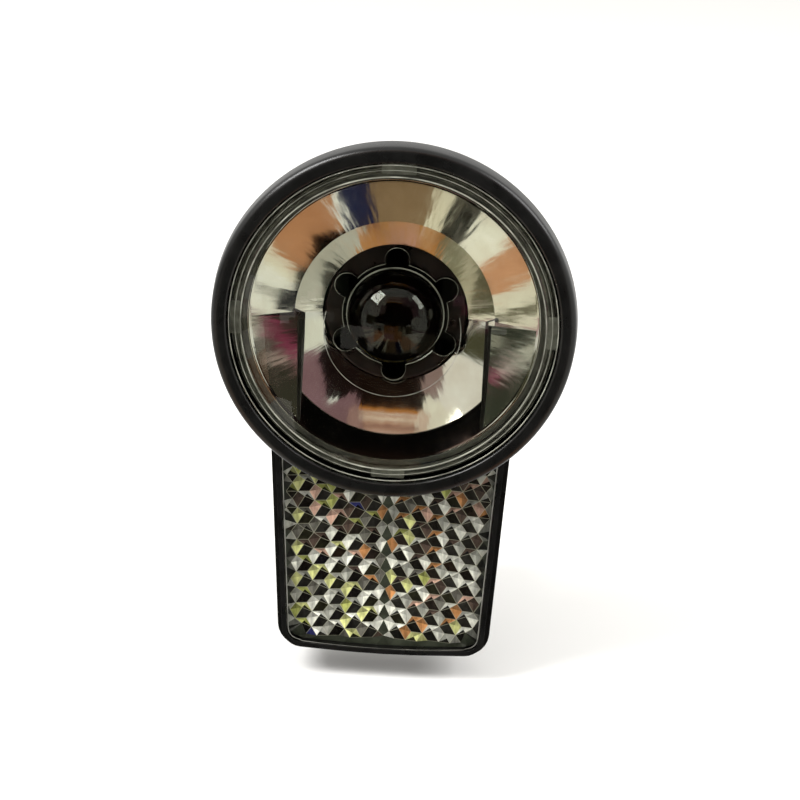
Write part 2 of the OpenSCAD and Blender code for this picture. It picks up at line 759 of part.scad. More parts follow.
// Two posts on the driver board where the dynamo's lead is soldered
module wire_posts() {
    color("goldenrod") in_lamp() for (s = [-1, 1])
        translate([s * wire_post_place.x, wire_post_place.y, 0])
            ring(0.6, 0, driver_end, driver_end + 1.4);
}

module board_screws() {
    color("silver") in_lamp() on_circle(post_circle, post_angles) {
        ring(board_screw_r, 0, driver_z - eps, driver_end + 1.2);
        ring(1.8 * board_screw_r, 0, driver_z - board_head_h, driver_z);
    }
}

module cover_gasket() {
    color("#202020") in_lamp() ring(rear_r - 0.2, rear_r - wall, housing_end, cover_seat);
}

// Rear cover: spigot in the housing, posts for the driver board, switch and lead openings
module rear_cover() {
    edge = 1.2;
    color("#181818") in_lamp() difference() {
        union() {
            rotate_extrude() polygon(concat(
                [[0, cover_in], [spigot_r, cover_in], [spigot_r, cover_seat], [rear_r, cover_seat]],
                fillet([rear_r, cover_seat], [rear_r, cover_end], [0, cover_end], edge),
                [[0, cover_end]]));
            on_circle(post_circle, post_angles)
                ring(post_r, 0, driver_end, cover_in + eps);
        }
        ring(shaft_r + running, 0, cover_in - 1, cover_end + 1);
        ring(seal_groove_r, 0, seal_groove_z, cover_end + 1);
        translate([0, lead_circle, 0]) ring(grommet_neck_r + 0.1, 0, cover_in - 1, cover_end + 1);
        on_circle(cover_screw_circle, cover_screw_angles) {
            ring(cover_screw_r + screw_gap, 0, cover_in - 1, cover_end + 1);
            ring(cover_head_r + screw_gap, 0, cover_end - cover_head_h, cover_end + 1);
        }
        on_circle(post_circle, post_angles)
            ring(board_screw_r + 0.05, 0, driver_end - 1, driver_end + 1.5);
    }
}

module cover_screws() {
    seat = cover_end - cover_head_h;
    slot_len = 1.2 * cover_head_r;
    slot_w = slot_len / 4;
    color("silver") in_lamp() on_circle(cover_screw_circle, cover_screw_angles) difference() {
        union() {
            ring(cover_screw_r, 0, cover_end - cover_screw_len, seat + eps);
            ring(cover_head_r, 0, seat, cover_end);
        }
        for (a = [0, 90]) rotate(a)
            translate([-slot_len / 2, -slot_w / 2, cover_end - cover_head_h / 2])
                cube([slot_len, slot_w, cover_head_h]);
    }
}

// Rubber grommet that grips the rear cover and takes the dynamo's lead
module cable_grommet() {
    color("#242424") in_lamp() translate([0, lead_circle, 0]) difference() {
        union() {
            ring(grommet_flange_r, 0, cover_in - grommet_lip, cover_in);
            ring(grommet_neck_r, 0, cover_in - eps, cover_end + eps);
            ring(grommet_flange_r, 0, cover_end, cover_end + grommet_lip);
        }
        ring(lead_r, 0, cover_in - 2 * grommet_lip, cover_end + 2 * grommet_lip);
    }
}

// Switch knob: disc with a finger bar, and a shaft that turns in the rear cover
module switch_knob() {
    edge = 0.9;
    groove = 12;
    color("#1c1c1c") in_lamp() difference() {
        union() {
            rotate_extrude() polygon(concat(
                [[0, shaft_end], [shaft_r, shaft_end], [shaft_r, clip_z], [clip_groove_r, clip_z],
                 [clip_groove_r, clip_z + clip_t], [shaft_r, clip_z + clip_t],
                 [shaft_r, knob_z], [knob_r, knob_z]],
                fillet([knob_r, knob_z], [knob_r, bar_z], [0, bar_z], edge),
                [[0, bar_z]]));
            intersection() {
                ring(knob_r - edge, 0, bar_z - eps, bar_end);
                translate([-bar_w / 2, -knob_r, bar_z - eps]) cube([bar_w, 2 * knob_r, bar_h + eps]);
            }
        }
        on_circle(knob_r + 0.5, [for (i = [0 : groove - 1]) (i + 0.5) * 360 / groove])
            ring(0.9, 0, knob_z + 1, bar_z + 1);
    }
}

module knob_seal() {
    color("#202020") in_lamp() translate([0, 0, cover_end - seal_minor - seal_gap])
        rotate_extrude() translate([seal_major, 0]) circle(r = seal_minor, $fn = 32);
}

module knob_clip() {
    color("silver") in_lamp() difference() {
        ring(shaft_r + clip_w, clip_groove_r + 0.02, clip_z + 0.02, clip_z + clip_t - 0.02);
        translate([-1, 0, clip_z - 1]) cube([2, 2 * shaft_r, 3]);
    }
}

// Spring contact on the end of the shaft that sweeps the tracks on the driver board
module switch_wiper() {
    color("goldenrod") in_lamp() {
        ring(shaft_r - 0.4, 0, shaft_end - wiper_t, shaft_end);
        translate([-wiper_w / 2, -wiper_r, shaft_end - wiper_t]) cube([wiper_w, 2 * wiper_r, wiper_t]);
        for (s = [-1, 1]) translate([0, s * (wiper_r - wiper_w / 2), 0])
            ring(wiper_w / 2, 0, driver_end + 0.15, shaft_end - wiper_t + eps);
    }
}

mounting_bracket();
pivot_bolt();
pivot_nut();
pivot_washers();
housing();
front_bezel();
front_lens();
lens_gasket();
reflector();
reflex_plate();
dome_holder();
dome_lens();
led_emitter();
led_board();
heat_sink();
optic_screws();
link_pins();
driver_board();
standlight_capacitor();
choke();
rectifier_diodes();
wire_posts();
board_screws();
cover_gasket();
rear_cover();
cover_screws();
cable_grommet();
switch_knob();
knob_seal();
knob_clip();
switch_wiper();
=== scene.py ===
# Round bicycle headlamp with a clear reflex panel below it, on a tilting steel bracket.
# The frame is in metres with +Z up, and the beam leaves along -Y. Sizes below are in millimetres.
import math

import bmesh
import bpy
import numpy as np
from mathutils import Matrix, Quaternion, Vector, geometry


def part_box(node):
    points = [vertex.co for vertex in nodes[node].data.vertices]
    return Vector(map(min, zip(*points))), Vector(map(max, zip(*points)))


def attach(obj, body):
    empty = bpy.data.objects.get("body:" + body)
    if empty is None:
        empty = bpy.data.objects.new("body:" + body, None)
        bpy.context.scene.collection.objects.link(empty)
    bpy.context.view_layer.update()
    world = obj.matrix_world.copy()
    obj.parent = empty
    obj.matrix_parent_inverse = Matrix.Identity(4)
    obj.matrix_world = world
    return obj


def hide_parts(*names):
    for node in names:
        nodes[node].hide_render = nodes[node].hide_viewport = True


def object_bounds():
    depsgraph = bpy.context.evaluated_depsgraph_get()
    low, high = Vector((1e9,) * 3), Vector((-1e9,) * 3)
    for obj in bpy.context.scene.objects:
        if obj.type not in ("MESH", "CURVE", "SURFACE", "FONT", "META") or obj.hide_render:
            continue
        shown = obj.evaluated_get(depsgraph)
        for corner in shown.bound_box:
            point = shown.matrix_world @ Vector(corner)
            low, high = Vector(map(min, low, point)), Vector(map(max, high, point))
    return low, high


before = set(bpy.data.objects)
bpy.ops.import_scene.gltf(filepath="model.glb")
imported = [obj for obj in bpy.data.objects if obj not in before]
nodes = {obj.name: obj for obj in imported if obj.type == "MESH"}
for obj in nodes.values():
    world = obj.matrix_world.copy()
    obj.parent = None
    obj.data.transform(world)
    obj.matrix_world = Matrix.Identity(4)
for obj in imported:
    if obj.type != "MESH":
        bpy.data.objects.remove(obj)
cad_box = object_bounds()

# Camera
# A long lens a third of a metre away, above the lamp's axis, a little to its right and slightly rolled.
# It looks at a point between the window and the reflex plate.
MM = 0.001
camera_target = Vector((1.35, -44.25, 44.12)) * MM
camera_distance = 325.86 * MM
camera_up, camera_round, camera_roll = (math.radians(a) for a in (19.76, 2.34, 2.31))
camera_focal = 87.1
to_camera = Vector((math.sin(camera_round) * math.cos(camera_up),
                    -math.cos(camera_round) * math.cos(camera_up), math.sin(camera_up)))
camera = bpy.data.objects.new("camera", bpy.data.cameras.new("camera"))
camera.data.lens = camera_focal
camera.data.sensor_width = 36.0
camera.data.clip_start = 0.01
camera.location = camera_target + to_camera * camera_distance
camera.rotation_mode = "QUATERNION"
camera.rotation_quaternion = to_camera.to_track_quat("Z", "Y") @ Quaternion((0, 0, 1), camera_roll)
bpy.context.scene.collection.objects.link(camera)
bpy.context.scene.camera = camera


# Studio
# Pale matt floor under the lamp, a pale surround and two softboxes. Tinted and black boards stand where
# only mirrors and clear pieces see them, so that the metallised bowl has something to show.
def linear(code):
    """Linear RGBA of an sRGB hex colour: each channel goes back through the sRGB curve."""
    channel = np.array([int(code[i:i + 2], 16) for i in (1, 3, 5)]) / 255
    curved = ((channel + 0.055) / 1.055) ** 2.4
    return (*np.where(channel <= 0.04045, channel / 12.92, curved), 1.0)


def add(tree, kind, values=(), links=()):
    """Adds a node; values fill its inputs or settings by name, links join its inputs to other outputs."""
    node = tree.nodes.new(kind)
    for key, value in dict(values).items():
        if isinstance(key, int) or key in node.inputs:
            node.inputs[key].default_value = value
        else:
            setattr(node, key, value)
    for key, socket in dict(links).items():
        tree.links.new(socket, node.inputs[key])
    return node


def shaded(name, kind="ShaderNodeBsdfPrincipled", values=(), links=()):
    """Material of one surface shader; links is a function of the node tree that gives its links."""
    material = bpy.data.materials.new(name)
    material.use_nodes = True
    tree = material.node_tree
    tree.nodes.clear()
    shader = add(tree, kind, values, links(tree) if callable(links) else links)
    add(tree, "ShaderNodeOutputMaterial", links={"Surface": shader.outputs[0]})
    return material


def board(name, centre, facing, size, colour, strength):
    """Flat studio board at a place in metres, turned to face a point, lit from within."""
    half = np.array(size) / 2
    turn = (Vector(facing) - Vector(centre)).to_track_quat("Z", "Y").to_matrix()
    corners = [turn @ Vector((x * half[0], y * half[1], 0)) + Vector(centre)
               for x, y in ((-1, -1), (1, -1), (1, 1), (-1, 1))]
    mesh = bpy.data.meshes.new(name)
    mesh.from_pydata(corners, [], [(0, 1, 2, 3)])
    glow = {"Color": linear(colour), "Strength": strength}
    mesh.materials.append(shaded(name, "ShaderNodeEmission", glow))
    item = bpy.data.objects.new(name, mesh)
    bpy.context.scene.collection.objects.link(item)
    item.visible_camera = item.visible_diffuse = False
    item.visible_shadow = item.visible_transmission = False
    return item


def softbox(name, centre, facing, size, watts):
    """Square area light that looks at a point."""
    light = bpy.data.lights.new(name, "AREA")
    light.energy = watts
    light.size = size
    item = bpy.data.objects.new(name, light)
    item.location = centre
    item.rotation_mode = "QUATERNION"
    item.rotation_quaternion = (Vector(centre) - Vector(facing)).to_track_quat("Z", "Y")
    bpy.context.scene.collection.objects.link(item)


bezel_low, bezel_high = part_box("front_bezel")
lamp_middle = Vector((0, bezel_low.y, (bezel_low.z + bezel_high.z) / 2))
floor_z = cad_box[0][2]
floor_half = 3.0
floor_mesh = bpy.data.meshes.new("floor")
floor_mesh.from_pydata([(x * floor_half, y * floor_half, floor_z)
                        for x, y in ((-1, -1), (1, -1), (1, 1), (-1, 1))], [], [(0, 1, 2, 3)])
# Matt paint: pale and even, with nothing on it but a soft shadow.
floor_mesh.materials.append(shaded("matt pale floor", values={
    "Base Color": linear("#f4f3f1"), "Roughness": 0.8, "Specular IOR Level": 0.1}))
floor = bpy.data.objects.new("floor", floor_mesh)
bpy.context.scene.collection.objects.link(floor)

world = bpy.data.worlds.new("pale surround")
world.use_nodes = True
world.node_tree.nodes.clear()
surround = add(world.node_tree, "ShaderNodeBackground", {"Color": linear("#f6f5f2"), "Strength": 1.0})
add(world.node_tree, "ShaderNodeOutputWorld", links={"Surface": surround.outputs[0]})
bpy.context.scene.world = world
world.cycles_visibility.transmission = False
bpy.context.scene.view_settings.view_transform = "Standard"
softbox("key softbox", (-0.55, -0.3, 0.7), lamp_middle, 0.4, 8)
softbox("fill softbox", (0.6, -0.1, 0.5), lamp_middle, 0.4, 3)
floor.visible_glossy = floor.visible_transmission = False

# Strips lie low in front of the lamp, where the upper bowl mirrors them.
# Each row: name, left, right, length, colour, glow.
pit = -0.6
strips = (("mist", 1.35, 1.6, 2.4, "#d8d4ca", 1.1), ("plum", 1.22, 1.35, 2.4, "#8a6d74", 1.0),
          ("white", 0.86, 1.22, 2.4, "#f2efe6", 1.25), ("grey", 0.8, 0.86, 2.4, "#8d8a80", 1.0),
          ("milk", 0.62, 0.8, 2.4, "#f2efe6", 1.25), ("pale", 0.52, 0.62, 2.4, "#efe6d2", 1.2),
          ("skin", 0.18, 0.52, 1.3, "#c98f68", 1.1), ("glass", 0.15, 0.18, 0.8, "#f4f4f0", 1.3),
          ("navy", 0.05, 0.15, 0.8, "#23284a", 1.0), ("brown", -0.15, 0.05, 0.8, "#9c8062", 1.0),
          ("cream", -0.21, -0.15, 0.8, "#f3ead2", 1.2), ("shade", -0.31, -0.21, 0.8, "#2d2b25", 1.0),
          ("light", -0.48, -0.31, 1.0, "#fbf6e8", 1.3), ("peach", -0.75, -0.48, 2.4, "#dca27c", 1.15),
          ("wall", -0.98, -0.75, 2.4, "#efe8d6", 1.25), ("moss", -1.12, -0.98, 2.4, "#77715a", 1.0),
          ("ivory", -1.34, -1.12, 2.4, "#efe8d6", 1.25), ("blush", -1.6, -1.34, 2.4, "#c0939a", 1.0))
for name, left, right, length, colour, strength in strips:
    middle = ((left + right) / 2, -0.05 - length / 2)
    board(f"{name} strip", (*middle, pit), (*middle, 1), (right - left, length), colour, strength)
black_boards = (("low", (0, -0.72, -0.35), (0.6, 0.62)), ("middle", (0, -1.0, -0.25), (1.0, 0.7)),
                ("front", (0, -1.25, 0.3), (2.1, 0.9)))
for name, centre, size in black_boards:
    board(f"black {name} board", centre, (0, 0, centre[2]), size, "#040404", 1)
# Small cards stand just ahead of the window, where the upper collar mirrors them, in millimetres.
# Each row: name, left, right, top, bottom, distance ahead of the bezel, colour.
cards = (("amber", -3.0, 1.6, 0.1, 1.9, 3.8, "#cf8f55"), ("pink", -1.4, 0.3, 0.55, 1.6, 3.7, "#d9a391"),
         ("white", -8.6, -3.0, -0.4, 3.7, 3.8, "#cfccc0"), ("dark", -5.6, -4.0, 1.4, 3.6, 3.7, "#2a2a26"),
         ("olive", 1.6, 3.2, 0.4, 3.8, 3.8, "#8b866c"), ("cream", 3.2, 4.2, 0.4, 3.8, 3.8, "#cfc7ae"),
         ("moss", 4.2, 7.2, 0.4, 3.8, 3.8, "#66624d"))
for name, left, right, top, bottom, ahead, colour in cards:
    place = lamp_middle + Vector(((left + right) / 2, -ahead, -(top + bottom) / 2)) * MM
    size = ((right - left) * MM, (bottom - top) * MM)
    board(f"{name} card", place, place + Vector((0, 1, 0)), size, colour, 1.0)
# Boards round the lamp, by angles in degrees and reach in metres, for the lower collar and the facets.
# Each row: name, azimuth, elevation, width, height, reach, colour, glow.
sky = (("brown sky", -4, 34, 66, 23, 1.2, "#170d0a", 1.0),
       ("orange line", -2, 46, 56, 2, 1.15, "#c9803c", 1.0),
       ("cream line", -2, 49.5, 56, 1.4, 1.12, "#efd9c6", 1.1),
       ("rust line", -2, 52.5, 56, 1.4, 1.12, "#8f6156", 1.0),
       ("lilac line", -2, 56, 56, 1.4, 1.12, "#e3d0d2", 1.1),
       ("cream sky", -2, 54, 56, 13, 1.15, "#cfa08a", 1.0),
       ("white sky", -42, 45, 22, 20, 1.15, "#ece4d6", 1.2),
       ("mauve sky", 36, 46, 20, 20, 1.15, "#8f6d76", 1.0),
       ("rose sky", 27, 50, 6, 16, 1.12, "#b08a86", 1.0),
       ("shell sky", -31, 50, 5, 16, 1.12, "#dcc0b0", 1.1),
       ("dark left", 35, 20, 22, 28, 1.15, "#1a1010", 1.0),
       ("mauve left", 54, 25, 18, 36, 1.15, "#93707a", 1.0),
       ("pale left", 54, -3, 20, 18, 1.15, "#e9e7dd", 1.2),
       ("pink right", -31, 25, 12, 18, 1.1, "#9c8280", 1.0),
       ("pale right", -50, 22, 24, 30, 1.15, "#efe8e2", 1.2),
       ("olive right", -55, -3, 28, 18, 1.15, "#55533f", 1.0),
       ("slate left", 29, -21.5, 6, 6, 1.15, "#191a22", 1.0),
       ("facet left", 15, -9.5, 16, 18, 0.62, "#3d3b32", 1.0),
       ("facet right", -19.5, -9.5, 16, 18, 0.62, "#3d4036", 1.0),
       ("magenta 1", 15.4, -16, 2.2, 2.2, 0.6, "#9c3f63", 1.0),
       ("magenta 2", 13.7, -14.2, 2.2, 2.2, 0.6, "#8e3a58", 1.0),
       ("magenta 3", 12, -12.4, 2.2, 2.2, 0.6, "#9c3f63", 1.0),
       ("magenta 4", 10.4, -10.6, 2.2, 2.2, 0.6, "#b9828f", 1.0),
       ("glint left", 18.7, -15.4, 3, 3.6, 0.6, "#e8e6dc", 1.1),
       ("rose left", 14.3, -11.1, 3.6, 1.6, 0.6, "#c9b0aa", 1.0),
       ("deep left", 10.2, -15.2, 4, 2.6, 0.6, "#15140f", 1.0),
       ("glint 1", -24.3, -16, 1.8, 2, 0.6, "#e8e6dc", 1.2),
       ("glint 2", -22.9, -14.8, 1.8, 1.8, 0.6, "#e8e6dc", 1.2),
       ("glint 3", -21.5, -13.6, 1.8, 1.8, 0.6, "#e8e6dc", 1.2),
       ("glint 4", -20.1, -12.4, 1.8, 1.8, 0.6, "#dccfc9", 1.1),
       ("glint 5", -18.7, -11.2, 1.8, 1.8, 0.6, "#d8b9bb", 1.1),
       ("glint 6", -17.2, -10, 1.8, 1.8, 0.6, "#a0506c", 1.0),
       ("grey right", -16.4, -15.2, 4, 2, 0.6, "#a9a79b", 1.0))
for name, azimuth, elevation, width, height, reach, colour, strength in sky:
    a, e = math.radians(azimuth), math.radians(elevation)
    way = Vector((math.sin(a) * math.cos(e), -math.cos(a) * math.cos(e), math.sin(e)))
    size = [2 * reach * math.tan(math.radians(angle / 2)) for angle in (width, height)]
    board(f"{name} board", lamp_middle + reach * way, lamp_middle, size, colour, strength)

# Housing
# Black ABS moulding: a round shell that narrows to the rear, the tray for the reflex plate below it and
# the pivot tongue behind the tray. One shot, satin from a polished and lightly grained mould.
def softened(name, node, edge, material):
    """Copy of a CAD node with its triangles merged, its flat faces whole again and its edges rounded."""
    mesh = nodes[node].data.copy()
    mesh.name = name
    bm = bmesh.new()
    bm.from_mesh(mesh)
    bmesh.ops.remove_doubles(bm, verts=bm.verts, dist=1e-6)
    bmesh.ops.dissolve_limit(bm, angle_limit=math.radians(1), verts=bm.verts, edges=bm.edges)
    bm.to_mesh(mesh)
    bm.free()
    if "custom_normal" in mesh.attributes:
        mesh.attributes.remove(mesh.attributes["custom_normal"])
    mesh.shade_smooth()
    mesh.set_sharp_from_angle(angle=math.radians(30))
    mesh.materials.clear()
    mesh.materials.append(material)
    item = bpy.data.objects.new(name, mesh)
    bpy.context.scene.collection.objects.link(item)
    bevel = item.modifiers.new("rounded edges", "BEVEL")
    bevel.width = edge * MM
    bevel.segments = 3
    bevel.limit_method = "ANGLE"
    bevel.angle_limit = math.radians(30)
    return item


def mottled(tree, scale, low, high, stretch=(1, 1, 1)):
    """Value that drifts between low and high over the piece: noise taken at the place times scale, which is
    the number of patches in a millimetre."""
    place = add(tree, "ShaderNodeTexCoord").outputs["Object"]
    patches = [k * scale / MM for k in stretch]
    spread = add(tree, "ShaderNodeVectorMath", {"operation": "MULTIPLY", 1: patches}, {0: place}).outputs[0]
    noise = add(tree, "ShaderNodeTexNoise", {"Scale": 1.0, "Detail": 3.0}, {"Vector": spread})
    limits = {"From Min": 0.3, "From Max": 0.7, "To Min": low, "To Max": high}
    return add(tree, "ShaderNodeMapRange", limits, {"Value": noise.outputs["Fac"]}).outputs[0]


def relief(tree, height, depth):
    """Normal of a surface whose height field, from 0 to 1, is depth millimetres deep."""
    bump = {"Strength": 1.0, "Distance": depth * MM}
    return add(tree, "ShaderNodeBump", bump, {"Height": height}).outputs[0]


def blend(tree, low, high, share):
    """Colour between two hex colours by a share from 0 to 1."""
    ends = {"data_type": "RGBA", 6: linear(low), 7: linear(high)}
    return add(tree, "ShaderNodeMix", ends, {0: share}).outputs[2]


# Moulded ABS: near black and satin, with soft highlights that a fine mould grain breaks up.
abs_black = shaded("moulded black ABS", values={
    "IOR": 1.53, "Specular IOR Level": 0.4}, links=lambda tree: {
    "Base Color": blend(tree, "#0b0b0a", "#141413", mottled(tree, 0.3, 0, 1)),
    "Roughness": mottled(tree, 0.15, 0.24, 0.34),
    "Normal": relief(tree, mottled(tree, 6, 0, 1), 0.004)})
housing = softened("housing_moulding", "housing", 0.35, abs_black)
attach(housing, "head")
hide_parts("housing")

# Bezel
# Black ABS ring that snaps over the lens and the housing's collar, gloss at its front edge.
# Points are worked out in the lamp's own frame: X right, Y down, Z back from the lens rim.
bezel_stand = 0.2
rim_y = bezel_low.y / MM + bezel_stand
axis_z = lamp_middle.z / MM


def in_frame(points):
    """Lamp's millimetres to the frame's metres: (x, y down, z back) from the rim becomes (x, z, -y)."""
    x, y, z = np.moveaxis(np.asarray(points, float), -1, 0)
    return np.stack([x, z + rim_y, axis_z - y], -1) * MM


def lathe(profile, steps=256, start=0, sweep=2 * math.pi):
    """Grid of a profile of points (r, z) carried round the lamp's axis: x = r sin t, y = -r cos t."""
    t = np.linspace(start, start + sweep, steps, endpoint=sweep < 2 * math.pi)[:, None]
    r, z = np.asarray(profile, float).T
    return np.stack([r * np.sin(t), -r * np.cos(t), z + 0 * t], -1)


def rounded(corners, radius, steps=6):
    """Closed outline whose corners become curves tangent to both runs: a parabola from three points."""
    corners = np.asarray(corners, float)
    reach = np.broadcast_to(np.asarray(radius, float), len(corners))[:, None]
    before = np.roll(corners, 1, 0) - corners
    after = np.roll(corners, -1, 0) - corners
    start = corners + before / np.linalg.norm(before, axis=1, keepdims=True) * reach
    end = corners + after / np.linalg.norm(after, axis=1, keepdims=True) * reach
    s = np.linspace(0, 1, steps)[None, :, None]
    curve = (1 - s) ** 2 * start[:, None] + 2 * s * (1 - s) * corners[:, None] + s ** 2 * end[:, None]
    return curve.reshape(-1, 2)


def quads(rows, columns, rows_close, columns_close):
    """Corner indices of every cell of a grid, with a last row or column of cells back to the first."""
    i, j = np.meshgrid(np.arange(rows - 1 + rows_close), np.arange(columns - 1 + columns_close),
                       indexing="ij")
    i_next, j_next = (i + 1) % rows, (j + 1) % columns
    return np.stack([i * columns + j, i_next * columns + j,
                     i_next * columns + j_next, i * columns + j_next], -1).reshape(-1, 4)


def piece(name, points, faces, material, sharp=40):
    """Object at the origin from points in the lamp's frame, doubles merged and faces turned outwards."""
    mesh = bpy.data.meshes.new(name)
    mesh.from_pydata(in_frame(points).reshape(-1, 3), [], [list(f) for f in faces])
    bm = bmesh.new()
    bm.from_mesh(mesh)
    bmesh.ops.remove_doubles(bm, verts=bm.verts, dist=1e-7)
    bmesh.ops.recalc_face_normals(bm, faces=bm.faces)
    bm.to_mesh(mesh)
    bm.free()
    mesh.shade_smooth()
    mesh.set_sharp_from_angle(angle=math.radians(sharp))
    mesh.materials.append(material)
    item = bpy.data.objects.new(name, mesh)
    bpy.context.scene.collection.objects.link(item)
    return item


lens_r = 27.0
bezel_in, bezel_r, bezel_len = 27.2, 30.05, 8.0
bezel_front_r, bezel_widest, bezel_tail = 29.7, 3.4, 28.4
bezel_run = np.linspace(0, 1, 12)
bezel_line = np.concatenate([
    rounded([(bezel_in, 1.4), (bezel_in, -bezel_stand), (bezel_front_r, -bezel_stand),
             (bezel_r, bezel_widest)], [0, 0.5, 1.2, 0], 8),
    np.stack([bezel_r + (bezel_tail - bezel_r) * bezel_run ** 1.6,
              bezel_widest + (bezel_len - bezel_widest) * bezel_run], -1),
    [(bezel_in, bezel_len)]])
bezel_grid = lathe(bezel_line)
bezel = piece("bezel_ring", bezel_grid, quads(*bezel_grid.shape[:2], 1, 1), abs_black)
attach(bezel, "head")
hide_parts("front_bezel")

# Lens gasket
# Grey silicone ring in the collar under the lens rim; its two fine lips show through the clear rim.
# It is moulded in one piece and only pressed in, each lip a bell curve in the section.
gasket_in, gasket_out, gasket_z, lip_h = 25.05, 26.6, 1.72, 0.3
# Silicone: dull grey and a little uneven, with no sharp highlight.
silicone = shaded("moulded grey silicone", values={"Roughness": 0.5, "IOR": 1.41}, links=lambda tree: {
    "Base Color": blend(tree, "#2f2e2a", "#52514a", mottled(tree, 0.4, 0, 1))})
gasket_run = np.linspace(gasket_in, gasket_out, 40)
inner_lip, outer_lip = (np.exp(-((gasket_run - lip_r) / 0.16) ** 2) for lip_r in (25.5, 26.2))
lips = lip_h * (1 - inner_lip - outer_lip)
gasket_line = np.concatenate([np.stack([gasket_run, gasket_z + lips], -1),
                              [(gasket_out, gasket_z + 0.8), (gasket_in, gasket_z + 0.8)]])
gasket_grid = lathe(gasket_line)
gasket = piece("lens_gasket_lips", gasket_grid, quads(*gasket_grid.shape[:2], 1, 1), silicone)
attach(gasket, "head")
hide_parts("lens_gasket")

# Reflector
# Moulded bowl, vacuum metallised but for its rim. Both halves share an outer paraboloid and a neck; the
# upper collar is small and flat, the lower one wide and steep, so a step runs across the bowl at the axis.
# Below it a raised facet stands on each side behind a thin dark rib.
def streaks(tree, across, along):
    """Streaks that run outwards from the axis: noise with across cells to a radian and along cells to a
    millimetre, taken at the point (cos t, r, sin t) times those counts."""
    place = add(tree, "ShaderNodeTexCoord").outputs["Object"]
    to_axis = {"operation": "MULTIPLY_ADD", 1: (1 / MM, 0, 1 / MM), 2: (0, 0, -axis_z)}
    from_axis = add(tree, "ShaderNodeVectorMath", to_axis, {0: place}).outputs[0]
    way = add(tree, "ShaderNodeVectorMath", {"operation": "NORMALIZE"}, {0: from_axis}).outputs[0]
    reach = add(tree, "ShaderNodeVectorMath", {"operation": "LENGTH"}, {0: from_axis}).outputs["Value"]
    depth = add(tree, "ShaderNodeMath", {"operation": "MULTIPLY", 1: along}, {0: reach}).outputs[0]
    inward = add(tree, "ShaderNodeCombineXYZ", links={1: depth}).outputs[0]
    spread = add(tree, "ShaderNodeVectorMath", {"operation": "MULTIPLY_ADD", 1: (across, 0, across)},
                 {0: way, 2: inward}).outputs[0]
    noise = add(tree, "ShaderNodeTexNoise", {"Scale": 1.0, "Detail": 2.0}, {"Vector": spread})
    return noise.outputs["Fac"]


# Metallised: a bright, slightly warm mirror whose faint radial waves draw out what it shows.
mirror = shaded("vacuum metallised aluminium", values={"Metallic": 1.0}, links=lambda tree: {
    "Base Color": blend(tree, "#e6e2dc", "#f2f1ee", mottled(tree, 0.2, 0, 1)),
    "Roughness": mottled(tree, 0.3, 0.07, 0.12),
    "Normal": relief(tree, streaks(tree, 9, 0.12), 0.035)})
# Masked plastic: plain dull grey, which frames the mirror with a dark ring.
masked = shaded("masked grey polycarbonate", values={"Roughness": 0.45, "IOR": 1.58}, links=lambda tree: {
    "Base Color": blend(tree, "#2a2925", "#48473f", mottled(tree, 0.3, 0, 1))})
# Ribs between two mirrors: painted nearly black as shade, without a glint.
shadowed = shaded("polycarbonate painted dark as shade", values={
    "Roughness": 0.5, "IOR": 1.58, "Specular IOR Level": 0.2}, links=lambda tree: {
    "Base Color": blend(tree, "#0f0e0b", "#1d1b16", mottled(tree, 0.6, 0, 1))})
bowl_r, bowl_front, bowl_span, bowl_wall, bowl_flange_r = 23.6, 2.6, 110.0, 1.2, 25.0
bead_w, bead_h = 0.5, 0.1
collar_step, neck_r, neck_end = 0.5, 12.1, 15.67
upper_collar, lower_collar = (16.5, 78.0), (20.0, 51.2)


def bowl_z(r):
    """Outer bowl: a paraboloid that opens forwards, z = rim + (rim radius squared - r squared) / span."""
    return bowl_front + (bowl_r ** 2 - r ** 2) / bowl_span


def collar_z(r, edge, span):
    """Collar: another paraboloid, set back by the step at its edge."""
    return bowl_z(edge) + collar_step + (edge ** 2 - r ** 2) / span


def half_bowl(edge, span):
    """Closed section of one half in (r, z): bead, bowl, step, collar and neck, then their backs."""
    s = np.linspace(0, 1, 9)[:-1]
    bead = np.stack([bowl_r + bead_w * (1 - s), bowl_front - bead_h * np.sin(math.pi * s)], -1)
    outer, inner = np.linspace(bowl_r, edge, 40), np.linspace(edge, neck_r, 40)
    inner_back = np.linspace(neck_r + bowl_wall, edge + 0.6, 16)
    outer_back = np.linspace(edge + 1, bowl_r - 1, 16)
    return np.concatenate([
        bead, np.stack([outer, bowl_z(outer)], -1), np.stack([inner, collar_z(inner, edge, span)], -1),
        [(neck_r, neck_end), (neck_r + bowl_wall, neck_end)],
        np.stack([inner_back, collar_z(inner_back, edge, span) + bowl_wall], -1),
        np.stack([outer_back, bowl_z(outer_back) + bowl_wall], -1),
        [(bowl_r + bead_w, bowl_front + bowl_wall)]])


def ended(grid):
    """Faces of a grid that closes on itself along its rows, with a flat end at its first and last row."""
    rows, columns = grid.shape[:2]
    return [*quads(rows, columns, 0, 1), np.arange(columns), np.arange(columns) + (rows - 1) * columns]


reflector = []
for word, collar, start in (("upper", upper_collar, -math.pi / 2), ("lower", lower_collar, math.pi / 2)):
    grid = lathe(half_bowl(*collar), 161, start, math.pi)
    reflector.append(piece(f"reflector_{word}", grid, ended(grid), mirror, 25))
rim_in, rim_back = bowl_r + bead_w + 0.02, bowl_front + bowl_wall
rim_line = rounded([(rim_in, rim_back), (rim_in, bowl_front), (bowl_flange_r, bowl_front),
                    (bowl_flange_r, rim_back)], 0.15, 4)
rim_grid = lathe(rim_line)
reflector.append(piece("reflector_rim", rim_grid, quads(*rim_grid.shape[:2], 1, 1), masked))

rib_x, rib_t, facet_span = 15.5, 0.5, 194.0


